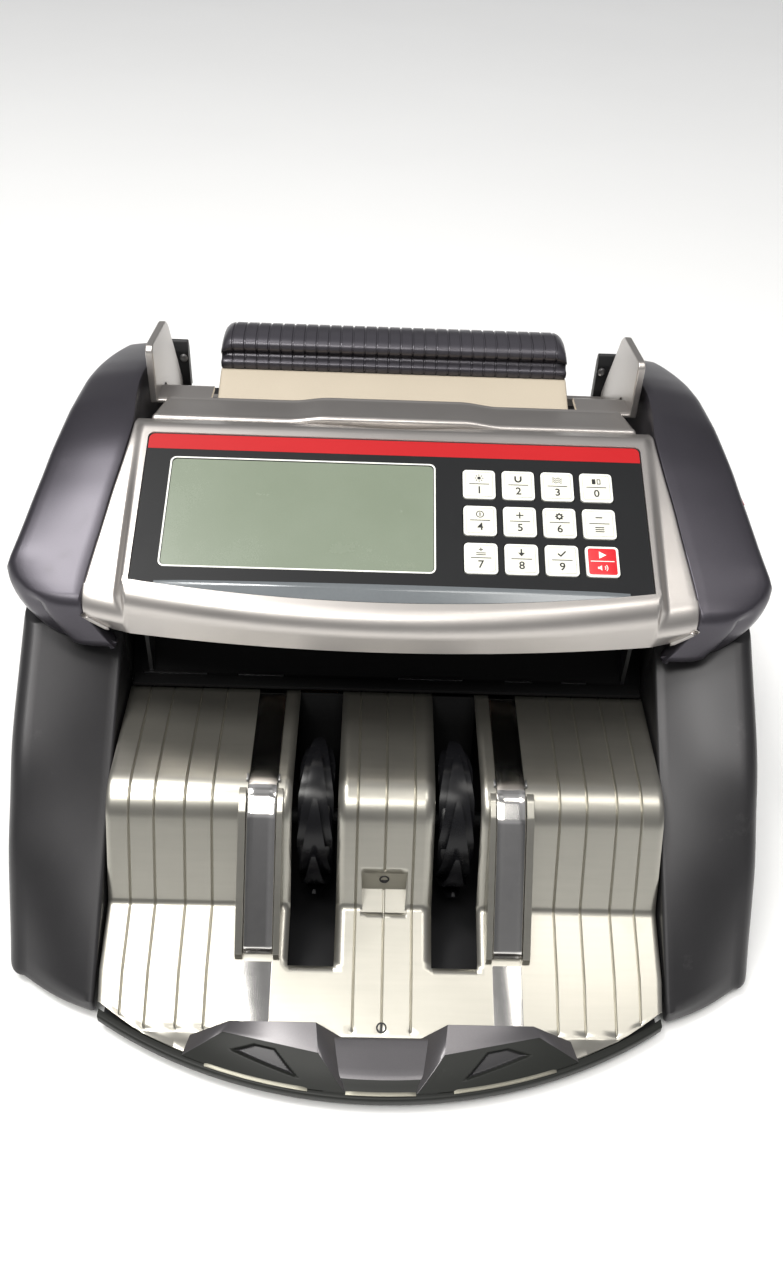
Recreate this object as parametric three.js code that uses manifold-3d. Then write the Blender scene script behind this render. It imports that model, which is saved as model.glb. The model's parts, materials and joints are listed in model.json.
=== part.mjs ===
// Banknote counting machine, desktop size. Millimetres, +Z up, front faces -Y.
// Casing shells, tray, hopper, keypad, note guides and the drive train are separate solids.
import * as THREE from 'three';
import { mergeVertices } from 'three/addons/utils/BufferGeometryUtils.js';
import { ConvexGeometry } from 'three/addons/geometries/ConvexGeometry.js';
import Module from 'manifold-3d';

const wasm = await Module();
wasm.setup();

// ---- driving dimensions -------------------------------------------------------------
const DY = 1.5, DZ = -6.0;            // datum shift applied to every piece at the end
const GAP = 0.3;                      // clearance between neighbouring pieces
const BASE_Z = 10.3;                  // underside of the base pan
const FOOT_H = 4.2, FOOT_R = 9;
const ARC_R = 191, ARC_Y = -149.4;    // plan arc of the front edge
const SEAM_Z = 110;                   // shoulder / side panel split height
const REAR_Y = 143;                   // outer rear face
const PANEL_SLOPE = 24.6 * Math.PI / 180, PANEL_Y = -21, PANEL_Z = 135.4;
const KEY_W = 12.4, KEY_H = 13.0, KEY_X = [32, 46.9, 61.8, 76.7], KEY_T = [45.4, 29.1, 12.8];
const LCD = { x0: -84.8, x1: 14.8, t0: 6.5, t1: 53.6 };
const TRAY_HALF = 100, SLOT0 = 17.8, SLOT1 = 34.7;
const STACK = [-51, 45.5], FEED = [36, 116], PICK = [84, 123.5], RETARD = [61.6, 110], MOTOR = [96, 44];
const WHEEL_R = 31;
const FRAME_X0 = 94, FRAME_X1 = 95.5;
const GUIDE_X0 = 100.5, GUIDE_X1 = 103.5;

// ---- helpers ------------------------------------------------------------------------
const lerp = (a, b, t) => a + (b - a) * t;
function curve(tab, x) {
  if (x <= tab[0][0]) return tab[0][1];
  for (let i = 1; i < tab.length; i++) if (x <= tab[i][0]) {
    const [x0, y0] = tab[i - 1], [x1, y1] = tab[i];
    return lerp(y0, y1, (x - x0) / (x1 - x0));
  }
  return tab[tab.length - 1][1];
}
function clean(g) {
  g = g.clone();
  g.deleteAttribute('normal'); g.deleteAttribute('uv');
  g = mergeVertices(g, 1e-4);
  const idx = g.index.array, out = [];
  for (let i = 0; i < idx.length; i += 3) {
    const [a, b, c] = [idx[i], idx[i + 1], idx[i + 2]];
    if (a !== b && b !== c && a !== c) out.push(a, b, c);
  }
  g.setIndex(out);
  return g;
}
function solid(g) {
  g = clean(g);
  return new wasm.Manifold(new wasm.Mesh({
    numProp: 3, vertProperties: new Float32Array(g.attributes.position.array), triVerts: new Uint32Array(g.index.array),
  }));
}
function back(m) {
  const q = m.getMesh(), g = new THREE.BufferGeometry();
  g.setAttribute('position', new THREE.BufferAttribute(new Float32Array(q.vertProperties), 3));
  g.setIndex(new THREE.BufferAttribute(new Uint32Array(q.triVerts), 1));
  return g;
}
const cut = (g, ...t) => back(t.reduce((m, k) => m.subtract(solid(k)), solid(g)));
const join = (g, ...t) => back(t.reduce((m, k) => m.add(solid(k)), solid(g)));
const keep = (g, k) => back(solid(g).intersect(solid(k)));
function box(x0, x1, y0, y1, z0, z1) {
  const g = new THREE.BoxGeometry(Math.abs(x1 - x0), y1 - y0, z1 - z0);
  g.translate((x0 + x1) / 2, (y0 + y1) / 2, (z0 + z1) / 2);
  return g;
}
// polygon in the YZ plane carried along X
function slabX(pts, x0, x1, holes = []) {
  const s = new THREE.Shape(pts.map(p => new THREE.Vector2(p[0], p[1])));
  for (const h of holes) s.holes.push(new THREE.Path(h.map(p => new THREE.Vector2(p[0], p[1]))));
  const g = new THREE.ExtrudeGeometry(s, { depth: x1 - x0, bevelEnabled: false });
  const m = new THREE.Matrix4().set(0, 0, 1, x0, 1, 0, 0, 0, 0, 1, 0, 0, 0, 0, 0, 1);
  g.applyMatrix4(m);
  return g;
}
// polygon in the XY plane carried along Z
function slabZ(pts, z0, z1, holes = []) {
  const s = new THREE.Shape(pts.map(p => new THREE.Vector2(p[0], p[1])));
  for (const h of holes) s.holes.push(new THREE.Path(h.map(p => new THREE.Vector2(p[0], p[1]))));
  const g = new THREE.ExtrudeGeometry(s, { depth: z1 - z0, bevelEnabled: false });
  g.translate(0, 0, z0);
  return g;
}
// polygon in the XZ plane carried along Y
function slabY(pts, y0, y1, holes = []) {
  const s = new THREE.Shape(pts.map(p => new THREE.Vector2(p[0], p[1])));
  for (const h of holes) s.holes.push(new THREE.Path(h.map(p => new THREE.Vector2(p[0], p[1]))));
  const g = new THREE.ExtrudeGeometry(s, { depth: y1 - y0, bevelEnabled: false });
  const m = new THREE.Matrix4().set(1, 0, 0, 0, 0, 0, -1, y1, 0, 1, 0, 0, 0, 0, 0, 1);
  g.applyMatrix4(m);
  return g;
}
const ring = (cy, cz, r, n = 24, ph = 0) => Array.from({ length: n }, (_, i) =>
  [cy + r * Math.cos(ph + i * 2 * Math.PI / n), cz + r * Math.sin(ph + i * 2 * Math.PI / n)]);
const rod = (c, r, x0, x1, n = 24) => slabX(ring(c[0], c[1], r, n), x0, x1);
// turned part on the X axis: profile of [x, radius]
function turned(c, prof, n = 24) {
  const pts = prof.map(([x, r]) => new THREE.Vector2(r, x));
  const g = new THREE.LatheGeometry(pts, n);
  g.rotateZ(-Math.PI / 2);            // lathe axis Y -> X
  g.translate(0, c[0], c[1]);
  return g;
}
function hullLoop(circles, n = 28) {
  let pts = [];
  for (const [cy, cz, r] of circles) pts.push(...ring(cy, cz, r, n));
  pts.sort((a, b) => a[0] - b[0] || a[1] - b[1]);
  const cr = (o, a, b) => (a[0] - o[0]) * (b[1] - o[1]) - (a[1] - o[1]) * (b[0] - o[0]);
  const half = list => { const h = []; for (const p of list) { while (h.length > 1 && cr(h[h.length - 2], h[h.length - 1], p) <= 0.001) h.pop(); h.push(p); } h.pop(); return h; };
  return [...half(pts), ...half(pts.slice().reverse())];
}
function mirror(g) {
  g = g.clone(); g.scale(-1, 1, 1);
  if (g.index) { const a = g.index.array; for (let i = 0; i < a.length; i += 3) { const t = a[i]; a[i] = a[i + 1]; a[i + 1] = t; } }
  else { const p = g.attributes.position; for (let i = 0; i < p.count; i += 3) for (let k = 0; k < 3; k++) { const t = p.getComponent(i, k); p.setComponent(i, k, p.getComponent(i + 1, k)); p.setComponent(i + 1, k, t); } }
  return g;
}
function fromTris(v, f) {
  const g = new THREE.BufferGeometry();
  g.setAttribute('position', new THREE.Float32BufferAttribute(v.flat(), 3));
  g.setIndex(f.flat());
  // outward orientation by signed volume
  let vol = 0; const A = v;
  for (const [a, b, c] of f) vol += A[a][0] * (A[b][1] * A[c][2] - A[b][2] * A[c][1]) - A[a][1] * (A[b][0] * A[c][2] - A[b][2] * A[c][0]) + A[a][2] * (A[b][0] * A[c][1] - A[b][1] * A[c][0]);
  if (vol < 0) g.setIndex(f.map(([a, b, c]) => [a, c, b]).flat());
  return g;
}
// closed body between two matching point grids (rows x cols)
function between(A, B) {
  const n = A.length, m = A[0].length, v = [], f = [];
  for (const G of [A, B]) for (const r of G) for (const p of r) v.push(p);
  const ia = (i, j) => i * m + j, ib = (i, j) => n * m + i * m + j;
  const quad = (a, b, c, d) => f.push([a, b, c], [a, c, d]);
  for (let i = 0; i < n - 1; i++) for (let j = 0; j < m - 1; j++) {
    quad(ia(i, j), ia(i + 1, j), ia(i + 1, j + 1), ia(i, j + 1));
    quad(ib(i, j), ib(i, j + 1), ib(i + 1, j + 1), ib(i + 1, j));
  }
  for (let i = 0; i < n - 1; i++) { quad(ia(i, 0), ib(i, 0), ib(i + 1, 0), ia(i + 1, 0)); quad(ia(i + 1, m - 1), ib(i + 1, m - 1), ib(i, m - 1), ia(i, m - 1)); }
  for (let j = 0; j < m - 1; j++) { quad(ia(0, j + 1), ib(0, j + 1), ib(0, j), ia(0, j)); quad(ia(n - 1, j), ib(n - 1, j), ib(n - 1, j + 1), ia(n - 1, j + 1)); }
  return fromTris(v, f);
}
function offsetPath(p, d) {           // open XY path, moved to its left by d
  return p.map((q, i) => {
    const a = p[Math.max(0, i - 1)], b = p[Math.min(p.length - 1, i + 1)];
    const n1 = i > 0 ? norm(q, a) : null, n2 = i < p.length - 1 ? norm(b, q) : null;
    let nx, ny;
    if (n1 && n2) { nx = n1[0] + n2[0]; ny = n1[1] + n2[1]; const l = Math.hypot(nx, ny); nx /= l; ny /= l; const c = Math.max(0.5, nx * n1[0] + ny * n1[1]); nx /= c; ny /= c; }
    else [nx, ny] = n1 || n2;
    return [q[0] + nx * d, q[1] + ny * d];
  });
}
const norm = (q, a) => { const dx = q[0] - a[0], dy = q[1] - a[1], l = Math.hypot(dx, dy); return [-dy / l, dx / l]; };

// ---- shape laws ---------------------------------------------------------------------
const arcY = x => { const a = Math.abs(x); return a <= 103.5 ? ARC_Y + ARC_R - Math.sqrt(ARC_R * ARC_R - a * a) : ARC_Y + 30.5 + (a - 103.5) * 0.6; };
const HY = [[-30, 125.4], [-22, 129.5], [0, 142], [20, 153], [40, 162.3], [50, 164.6], [60, 165.9], [80, 166.3], [95, 164.8], [110, 162], [128, 158], [143, 154]];
const Htop = (x, y) => curve(HY, y) - 3.2 * Math.pow(Math.max(0, (Math.abs(x) - 104) / 26), 2) * Math.min(1, Math.max(0, (y + 10) / 50));
const outerX = y => curve([[-12, 142], [0, 139.6], [15, 136.9], [30, 134.2], [50, 131.6], [80, 130], [110, 128.9], [143, 126]], y);
const seamX = y => curve([[-28, 113], [-22, 112.2], [45, 102], [80, 104.8], [143, 104.8]], y);
const panel = (x, t, n) => [x, PANEL_Y + t * Math.cos(PANEL_SLOPE) - n * Math.sin(PANEL_SLOPE), PANEL_Z + t * Math.sin(PANEL_SLOPE) + n * Math.cos(PANEL_SLOPE)];
const panelM = new THREE.Matrix4().set(1, 0, 0, 0, 0, Math.cos(PANEL_SLOPE), -Math.sin(PANEL_SLOPE), PANEL_Y, 0, Math.sin(PANEL_SLOPE), Math.cos(PANEL_SLOPE), PANEL_Z, 0, 0, 0, 1);
const onPanel = g => { g.applyMatrix4(panelM); return g; };

const group = new THREE.Group();
const MAT = {
  silver: ['#c9c6c0', 0.38, 0.55], dark: ['#4b4a50', 0.42, 0.35], black: ['#17171a', 0.5, 0.1], overlay: ['#232428', 0.35, 0.0],
  chrome: ['#d8d8da', 0.12, 1.0], wheel: ['#101012', 0.22, 0.0], rubber: ['#1b1b1c', 0.85, 0.0], key: ['#ecebe0', 0.5, 0.0],
  red: ['#d3242c', 0.45, 0.0], lcd: ['#7f8c75', 0.2, 0.0], beige: ['#cfc4ae', 0.45, 0.3], steel: ['#9a9c9f', 0.35, 0.9],
  pcb: ['#1f5a35', 0.55, 0.0], copper: ['#8a5a32', 0.5, 0.4], roller: ['#b5563a', 0.8, 0.0], belt: ['#202020', 0.8, 0.0], white: ['#dcdcd6', 0.5, 0.0],
};
function put(name, geo, mat) {
  const g = clean(geo);
  g.translate(0, DY, DZ);
  g.computeVertexNormals();
  const [color, roughness, metalness] = MAT[mat];
  const mesh = new THREE.Mesh(g, new THREE.MeshStandardMaterial({ color, roughness, metalness }));
  mesh.name = name;
  group.add(mesh);
}

// ---- base pan and feet ----------------------------------------------------------------
const arcPts = (inset, xm, n = 24) => Array.from({ length: n + 1 }, (_, i) => { const x = lerp(-xm, xm, i / n); return [x, arcY(x) + inset]; });
{
  const plan = [...arcPts(0, 100.6), [100.6, 138.5], [-100.6, 138.5]];
  const rimIn = [...arcPts(4.5, 100), [100, -104], [-100, -104]].map(p => p);
  let pan = slabZ(plan, BASE_Z, BASE_Z + 3);
  const rim = cut(slabZ([...arcPts(0, 100.6), [100.6, -108], [-100.6, -108]], BASE_Z + 2, BASE_Z + 4.2), slabZ([...arcPts(3.2, 101.5), [101.5, -100], [-101.5, -100]], BASE_Z + 1, BASE_Z + 6));
  pan = join(pan, rim, box(-122, -99, -57, 138.5, BASE_Z, BASE_Z + 2.2), box(99, 122, -57, 138.5, BASE_Z, BASE_Z + 2.2));
  put('base_pan', pan, 'dark');
  for (const [nm, x, y] of [['foot_front_left', -82, -96], ['foot_front_right', 82, -96], ['foot_rear_left', -98, 118], ['foot_rear_right', 98, 118]]) {
    const c = new THREE.CylinderGeometry(FOOT_R, FOOT_R - 1.2, FOOT_H, 24); c.rotateX(Math.PI / 2); c.translate(x, y, BASE_Z - FOOT_H / 2 - 0.1);
    put(nm, c, 'rubber');
  }
}

// ---- lower side panels ----------------------------------------------------------------
const innerFront = z => z <= 17 ? -116.3 : curve([[17, -116.3], [60.5, -62], [100, -12], [110, 0.5]], z);
const outerFront = z => curve([[10, -97.5], [21, -90.5], [35, -82.5], [49, -74], [63, -62.5], [77.6, -50.5], [100, -23], [110, -10]], z);
const sideX = y => outerX(y) - curve([[-12, 1.6], [10, 2.6]], y);
function cheekPath(z) {
  const a = innerFront(z), b = outerFront(z), p = [];
  p.push([103.3, 30], [103.3, (a + 30) / 2], [103.3, a + 1.6], [104.6, a]);
  const fx = t => lerp(104.6, 133.4, t), fy = t => lerp(a, b - 5.2, t) - 1.6 * Math.sin(Math.PI * t);
  for (const t of [0.33, 0.67, 1]) p.push([fx(t), fy(t)]);
  p.push([137.6, b - 2.6], [139.8, b + 2], [140.4, b + 8]);
  const r0 = Math.max(b + 14, -4);
  for (const s of [0, 0.2, 0.4, 0.7, 1]) { const y = lerp(r0, REAR_Y - 3.2, s); p.push([Math.min(140.4, sideX(y)), y]); }
  return p;
}
{
  const levels = [BASE_Z + 0.1, 17, 28, 42, 56, 70, 84, 97, SEAM_Z - 0.3];
  const A = levels.map(z => cheekPath(z).map(([x, y]) => [x, y, z]));
  const B = levels.map(z => offsetPath(cheekPath(z), 2.2).map(([x, y]) => [x, y, z]));
  let side = between(A, B);
  // clear the base pan edge
  side = cut(side, box(90, 122.6, -60, 150, 0, BASE_Z + 2.6), box(90, 101.1, -150, 160, 0, 200));
  put('side_panel_right', side, 'dark');
  put('side_panel_left', mirror(side), 'dark');
}

// ---- height-field bodies ---------------------------------------------------------------
// P[i][j] = [x, y, ztop]; closed body from zb up to ztop
function prism(P, zb) { return between(P, P.map(r => r.map(([x, y]) => [x, y, typeof zb === 'function' ? zb(x, y) : zb]))); }

function shoulderGrid(ins, drop) {
  const ys = [REAR_Y, REAR_Y - 0.8, REAR_Y - 3.5, 128, 110, 95, 80, 62, 45, 32, 18, 4, -8, -14, -18.5, -22.5, -24.6, -25.4];
  const dz = [4.2, 1.4, 0, 0, 0, 0, 0, 0, 0, 0, 0, 0, 0, 0, 0, 0.7, 2.6, 6.5];
  const cs = [0, 0.012, 0.045, 0.3, 0.6, 0.86, 0.95, 1];
  const ce = [1.6, 0.5, 0, 0, 0, 0.5, 2.0, 5.4];
  return ys.map((y0, i) => {
    const y = y0 + (y0 > 60 ? -Math.max(0, ins - (REAR_Y - y0)) : 0) + (y0 < 0 ? Math.max(0, ins - (y0 + 25.4)) : 0);
    const xin = seamX(y0) + 0.3 + ins;
    // rounded outer front corner in plan
    const k = Math.max(0, Math.min(1, (-y0 - 8) / 17.4));
    const xo = outerX(y0) - ins - 13 * k * k * k;
    return cs.map((s, j) => {
      const x = lerp(xin, xo, s);
      return [x, y + (y0 < -20 ? 3.2 * Math.pow(s, 3) : 0), Htop(x, y0) - drop - Math.max(dz[i], ce[j]) - 0.35 * Math.min(dz[i], ce[j])];
    });
  });
}
// lower edge of the shoulder: the outer corner tucks in towards the nose
const tuck = (P, z) => between(P, P.map(r => r.map(([x, y, zt], j) => {
  const s = (x - r[0][0]) / (r[r.length - 1][0] - r[0][0]), k = Math.max(0, Math.min(1, (6 - y) / 30));
  return [x - 13 * k * Math.pow(s, 3), y + 1.4 * k * s * s, z];
})));
{
  const out = tuck(shoulderGrid(0, 0), SEAM_Z + 0.2);
  const inn = tuck(shoulderGrid(2.2, 2.4), SEAM_Z - 5);
  let sh = cut(out, inn);
  // inward rear lug beside the note guide
  sh = join(sh, slabX([[137.4, 133.6], [REAR_Y, 133.6], [REAR_Y, 153], [141.5, 156.6], [139, 157], [137.4, 152]], 93.8, 106));
  sh = cut(sh, box(90, 104.9, 100, 137, 100, 200), slabX([[25.6, 131], [42.4, 131], [42.4, 148], [25.6, 148]], 125, 150));
  put('shoulder_right', sh, 'dark');
  let sl = cut(out, inn);
  sl = join(sl, slabX([[137.4, 133.6], [REAR_Y, 133.6], [REAR_Y, 153], [141.5, 156.6], [139, 157], [137.4, 152]], 93.8, 106));
  put('shoulder_left', mirror(sl), 'dark');
}

// ---- top cover with raised panel frame ---------------------------------------------------
const bow = x => 10 * (1 - Math.pow(Math.min(1, Math.abs(x) / 112), 2));
const panelZ = y => PANEL_Z + (y - PANEL_Y) * Math.tan(PANEL_SLOPE);
function coverGrid(ins, drop) {
  // rows from the rear rim to the lip
  const rows = [[52.6, 3.0], [51.8, 1.0], [49.5, 0.2], [45, 0], [40.5, 0], [30, 0], [15, 0], [0, 0], [-12, 0], [-20, 0], [-22.5, 0.4], [-24.6, 2.2], [-25.6, 5.2]];
  const inner = [0, 20, 40, 60, 80, 93];
  return rows.map(([y0, dz], i) => {
    const sx = seamX(Math.min(45, y0)) - ins;
    const e0 = 99.3, e1 = 97.2;
    const half = [...inner, 95.6, e1, Math.min(e0 + 0.4, sx - 1.4), sx - 0.7, sx];
    const xs = [...half.slice(1).reverse().map(x => -x), ...half];
    return xs.map(x => {
      const a = Math.abs(x), f = Math.min(1, Math.max(0, (52 - y0) / 76));
      let y = y0 - bow(x) * Math.pow(f, 1.3);
      if (y0 > 45) y -= Math.max(0, ins - (52.6 - y0)); else if (y0 < -15) y += Math.max(0, ins - (y0 + 25.6));
      const base = curve(HY, Math.min(y0, 45)) - (a > sx - 0.5 ? 0.8 : 0) - (y0 > 45 ? (y0 - 45) * 0.28 : 0);
      let z = base - dz;
      if (y0 <= 41 && y0 >= -21 && a <= e1) z = Math.max(base, panelZ(y) + 0.5);
      return [x, y, z - drop];
    });
  });
}
const lcdHole = (g) => onPanel(slabZ([[LCD.x0 - g, LCD.t0 - g], [LCD.x1 + g, LCD.t0 - g], [LCD.x1 + g, LCD.t1 + g], [LCD.x0 - g, LCD.t1 + g]], -6, 6));
const overlayPts = (g) => {
  const p = [];
  for (let i = 0; i <= 16; i++) { const x = lerp(-95 - g, 95 + g, i / 16); p.push([x, -g - 6.9 * (1 - Math.pow(Math.abs(x) / (95 + g), 2))]); }
  p.push([95 + g, 63 + g], [93 + g, 64.9 + g], [-93 - g, 64.9 + g], [-95 - g, 63 + g]);
  return p;
};
{
  const out = prism(coverGrid(0, 0), 115.5);
  const inn = prism(coverGrid(2.2, 4.4), 105);
  let c = cut(out, inn, box(-99, 99, 30, 60, 100, 150));
  c = cut(c, onPanel(slabZ(overlayPts(0.25), -1.8, 6)));
  // shallow finger recess in the rear rim
  const s = new THREE.SphereGeometry(1, 24, 12); s.scale(16, 6, 2.6); s.translate(0, 49.8, 164.0);
  c = cut(c, s);
  put('top_cover', c, 'silver');
}

// ---- control overlay, window, keys --------------------------------------------------------
const rr = (cx, cy, w, h, r, n = 3) => {
  const p = [];
  for (const [sx, sy, a0] of [[1, -1, -90], [1, 1, 0], [-1, 1, 90], [-1, -1, 180]])
    for (let i = 0; i <= n; i++) { const a = (a0 + 90 * i / n) * Math.PI / 180; p.push([cx + sx * (w / 2 - r) + r * Math.cos(a), cy + sy * (h / 2 - r) + r * Math.sin(a)]); }
  return p;
};
const lcx = (LCD.x0 + LCD.x1) / 2, lct = (LCD.t0 + LCD.t1) / 2, lw = LCD.x1 - LCD.x0, lh = LCD.t1 - LCD.t0;
{
  const holes = [rr(lcx, lct, lw, lh, 2)];
  for (const t of KEY_T) for (const x of KEY_X) holes.push(rr(x, t, KEY_W + 0.8, KEY_H + 0.8, 1.8));
  put('control_overlay', onPanel(slabZ(overlayPts(0), -1.6, 0, holes)), 'overlay');
  put('lcd_window', onPanel(slabZ(rr(lcx, lct, lw - 0.6, lh - 0.6, 1.8), -1.6, -0.1)), 'lcd');
  const names = [['key_1', 'key_2', 'key_3', 'key_0'], ['key_4', 'key_5', 'key_6', 'key_minus'], ['key_7', 'key_8', 'key_9', 'key_start']];
  KEY_T.forEach((t, r) => KEY_X.forEach((x, k) => put(names[r][k], onPanel(slabZ(rr(x, t, KEY_W, KEY_H, 1.5, 2), -1.0, 0.7)), names[r][k] === 'key_start' ? 'red' : 'key')));
  const board = onPanel(box(-86, 86, 6, 56, -9.2, -7.6));
  put('display_board', board, 'pcb');
}

// ---- feed gap lid ---------------------------------------------------------------------------
{
  const rows = [[53.1, 159.4], [53.6, 161.0], [55, 161.6], [64, 160.6], [74, 159.2], [76.6, 158.2]];
  const xs = [-97.2, -96.2, -60, -42, -30, -18, 0, 18, 30, 42, 60, 96.2, 97.2];
  const wave = x => { const a = Math.abs(x); return a > 42 ? 0 : 0.5 * (1 + Math.cos(Math.PI * a / 42)); };
  const P = rows.map(([y, z], i) => xs.map((x, j) => [x, y + (i < 4 ? wave(x) * 1.8 * (1 - i / 4) : 0), z + 1.8 * wave(x) * (i > 0 ? 1 : 0.2) - ((j === 0 || j === xs.length - 1) ? 1.2 : 0)]));
  put('feed_gap_lid', prism(P, (x, y) => y < 60 ? 157.2 : 156.4), 'silver');
}

// ---- stacker tray ---------------------------------------------------------------------------
const TRAY = [[-13, 77.5], [-38, 75.4], [-60, 73.6], [-65.2, 72.2], [-68.4, 69.2], [-70.4, 65.4], [-78, 49.2], [-83.8, 37.2], [-86.2, 34.0], [-90, 31.9], [-107, 23.9], [-126.0, 15.0]];
function pathOffset(p, d) { return offsetPath(p, d); }
{
  const low = pathOffset(TRAY, 2.2);
  let t = slabX([...TRAY, ...low.slice().reverse()], -TRAY_HALF, TRAY_HALF);
  const side = [...TRAY.slice(0, 10), [-91, 20], [-60, 20], [-20, 50], [-13, 60]];
  t = join(t, slabX(side, TRAY_HALF - 2.2, TRAY_HALF), slabX(side, -TRAY_HALF, -TRAY_HALF + 2.2));
  const clip = slabZ([...arcPts(3.6, 103, 32), [103, 20], [-103, 20]], 0, 120);
  t = keep(t, clip);
  t = cut(t, box(-110, 110, -140, -100, 0, BASE_Z + 3.3));
  for (const s of [-1, 1]) {
    const a = s * SLOT0, b = s * SLOT1;
    t = cut(t, box(Math.min(a, b), Math.max(a, b), -104.5, 5, 0, 100));
  }
  // sensor notch in the middle of the lower wall
  t = cut(t, slabX([[-84, 46.5], [-76.6, 46.5], [-76.6, 38.9], [-80.0, 37.3], [-86.4, 34.2], [-92, 33.6], [-90, 44]], -8.7, 8.7));
  put('stacker_tray', t, 'silver');
}
// ---- chrome note rails ------------------------------------------------------------------------
{
  const lo = pathOffset(TRAY, -0.3), seg = lo.slice(0, 8);
  const rail = [[-14, 79.0], [-38, 76.9], [-60.5, 75.2], [-66.6, 73.6], [-71.2, 69.6], [-103.0, 28.6], [-103.4, 26.0], [-90.1, 32.4]];
  const prof = [...rail, ...seg.slice(1, 8).reverse().map(p => p), [-14, 77.95]];
  for (const [nm, x0, x1] of [['note_rail_left', -53.9, -37.6], ['note_rail_right', 37.6, 53.9]]) put(nm, slabX(prof, x0, x1), 'chrome');
}
// ---- front stop ---------------------------------------------------------------------------------
{
  const z0 = BASE_Z + 4.4;
  const band = [...arcPts(1.0, 71, 16)];
  const bandBack = [[71, -126.6], [-71, -126.6]];
  let st = slabZ([...band, ...bandBack], z0, z0 + 3.0);
  const hump = (s) => {
    const P = [];
    const add = (x, y, z) => P.push(new THREE.Vector3(s * x, y, z));
    add(24, -126.8, 24.8); add(53, -126.7, 24.8); add(22.6, -136.4, 20.8); add(30, -135.6, 21.2); add(46, -132.2, 21.6); add(55, -129.0, 21.8);
    for (const x of [12.5, 22, 32, 44, 56, 69]) add(x, arcY(x) + 1.2, z0 + 0.2);
    for (const x of [12.5, 22, 32, 44, 56, 67]) add(x, arcY(x) + 1.3, z0 + 2.2);
    add(13.5, -126.6, z0 + 0.2); add(68, -126.6, z0 + 0.2); add(15.5, -126.6, z0 + 3.4); add(65, -126.6, z0 + 2.6);
    return new ConvexGeometry(P);
  };
  st = join(st, hump(1), hump(-1));
  put('front_stop', st, 'dark');
}

// ---- hopper: bed, sloped plate, handle, guides ------------------------------------------------
const BED_Z = 133;
{
  const bed = slabZ([[-104.4, 78], [-75, 78], [-75, 114], [75, 114], [75, 78], [104.4, 78], [104.4, 137.2], [93.4, 137.2], [93.4, 140.3], [-93.4, 140.3], [-93.4, 137.2], [-104.4, 137.2]], BED_Z - 2.5, BED_Z);
  put('hopper_bed', bed, 'black');
  const plateTop = [[66, 132.3], [117, 153.2], [140, 153.2]];
  const plateLow = [[140, 150.9], [117.5, 150.9], [67, 130.0]];
  let pl = slabX([...plateTop, ...plateLow], -78, 78);
  const skirt = [[79.0, BED_Z + 0.3], [140, BED_Z + 0.3], [140, 152], [118, 152], [79.0, 135.8]];
  pl = join(pl, slabX(skirt, 75.6, 78), slabX(skirt, -78, -75.6));
  pl = cut(pl, box(17, 36, 60, 103.5, 125, 151), box(-36, -17, 60, 103.5, 125, 151));
  pl = cut(pl, box(-90, 90, 119.4, 136.0, 130, 138.6));
  put('hopper_plate', pl, 'beige');
  const grip = [[117.3, 153.6], [117.1, 156.4], [118.6, 157.4], [120.8, 158.6], [120.8, 160.0], [118.9, 161.2], [118.6, 163.2], [120.4, 165.6], [124, 167.2], [134, 167.6], [141, 165.6], [145.2, 161.6], [146.4, 156], [145.8, 153.6]];
  put('carry_handle', slabX(grip, -78, 78), 'dark');
}
const RACK_Z0 = BED_Z + 0.6, RACK_Z1 = BED_Z + 4.4, PIN_Y = 127.7;
{
  const fin = [[77.4, 155.2], [77.6, 177.4], [80, 179.7], [110.5, 177.4], [114.4, 174.6], [136, 139.5], [136, RACK_Z0], [118, RACK_Z0], [97, 155.2]];
  const mk = (s, ry0, ry1) => {
    const o = (a, b) => s > 0 ? [a, b] : [-b, -a];
    let g = slabX(fin, ...o(GUIDE_X0, GUIDE_X1));
    g = join(g, box(...o(76.8, GUIDE_X1 - 0.5), 77.6, 92, 155.2, 157.2));
    g = join(g, box(...o(-14, GUIDE_X0 + 1), ry0, ry1, RACK_Z0, RACK_Z1));
    return g;
  };
  put('note_guide_left', mk(-1, PIN_Y - 7.1, PIN_Y - 3.5), 'silver');
  put('note_guide_right', mk(1, PIN_Y + 3.5, PIN_Y + 7.1), 'silver');
  const c = new THREE.CylinderGeometry(3.2, 3.2, RACK_Z1 - RACK_Z0, 20); c.rotateX(Math.PI / 2); c.translate(0, PIN_Y, (RACK_Z0 + RACK_Z1) / 2);
  put('guide_pinion', c, 'white');
}

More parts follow.
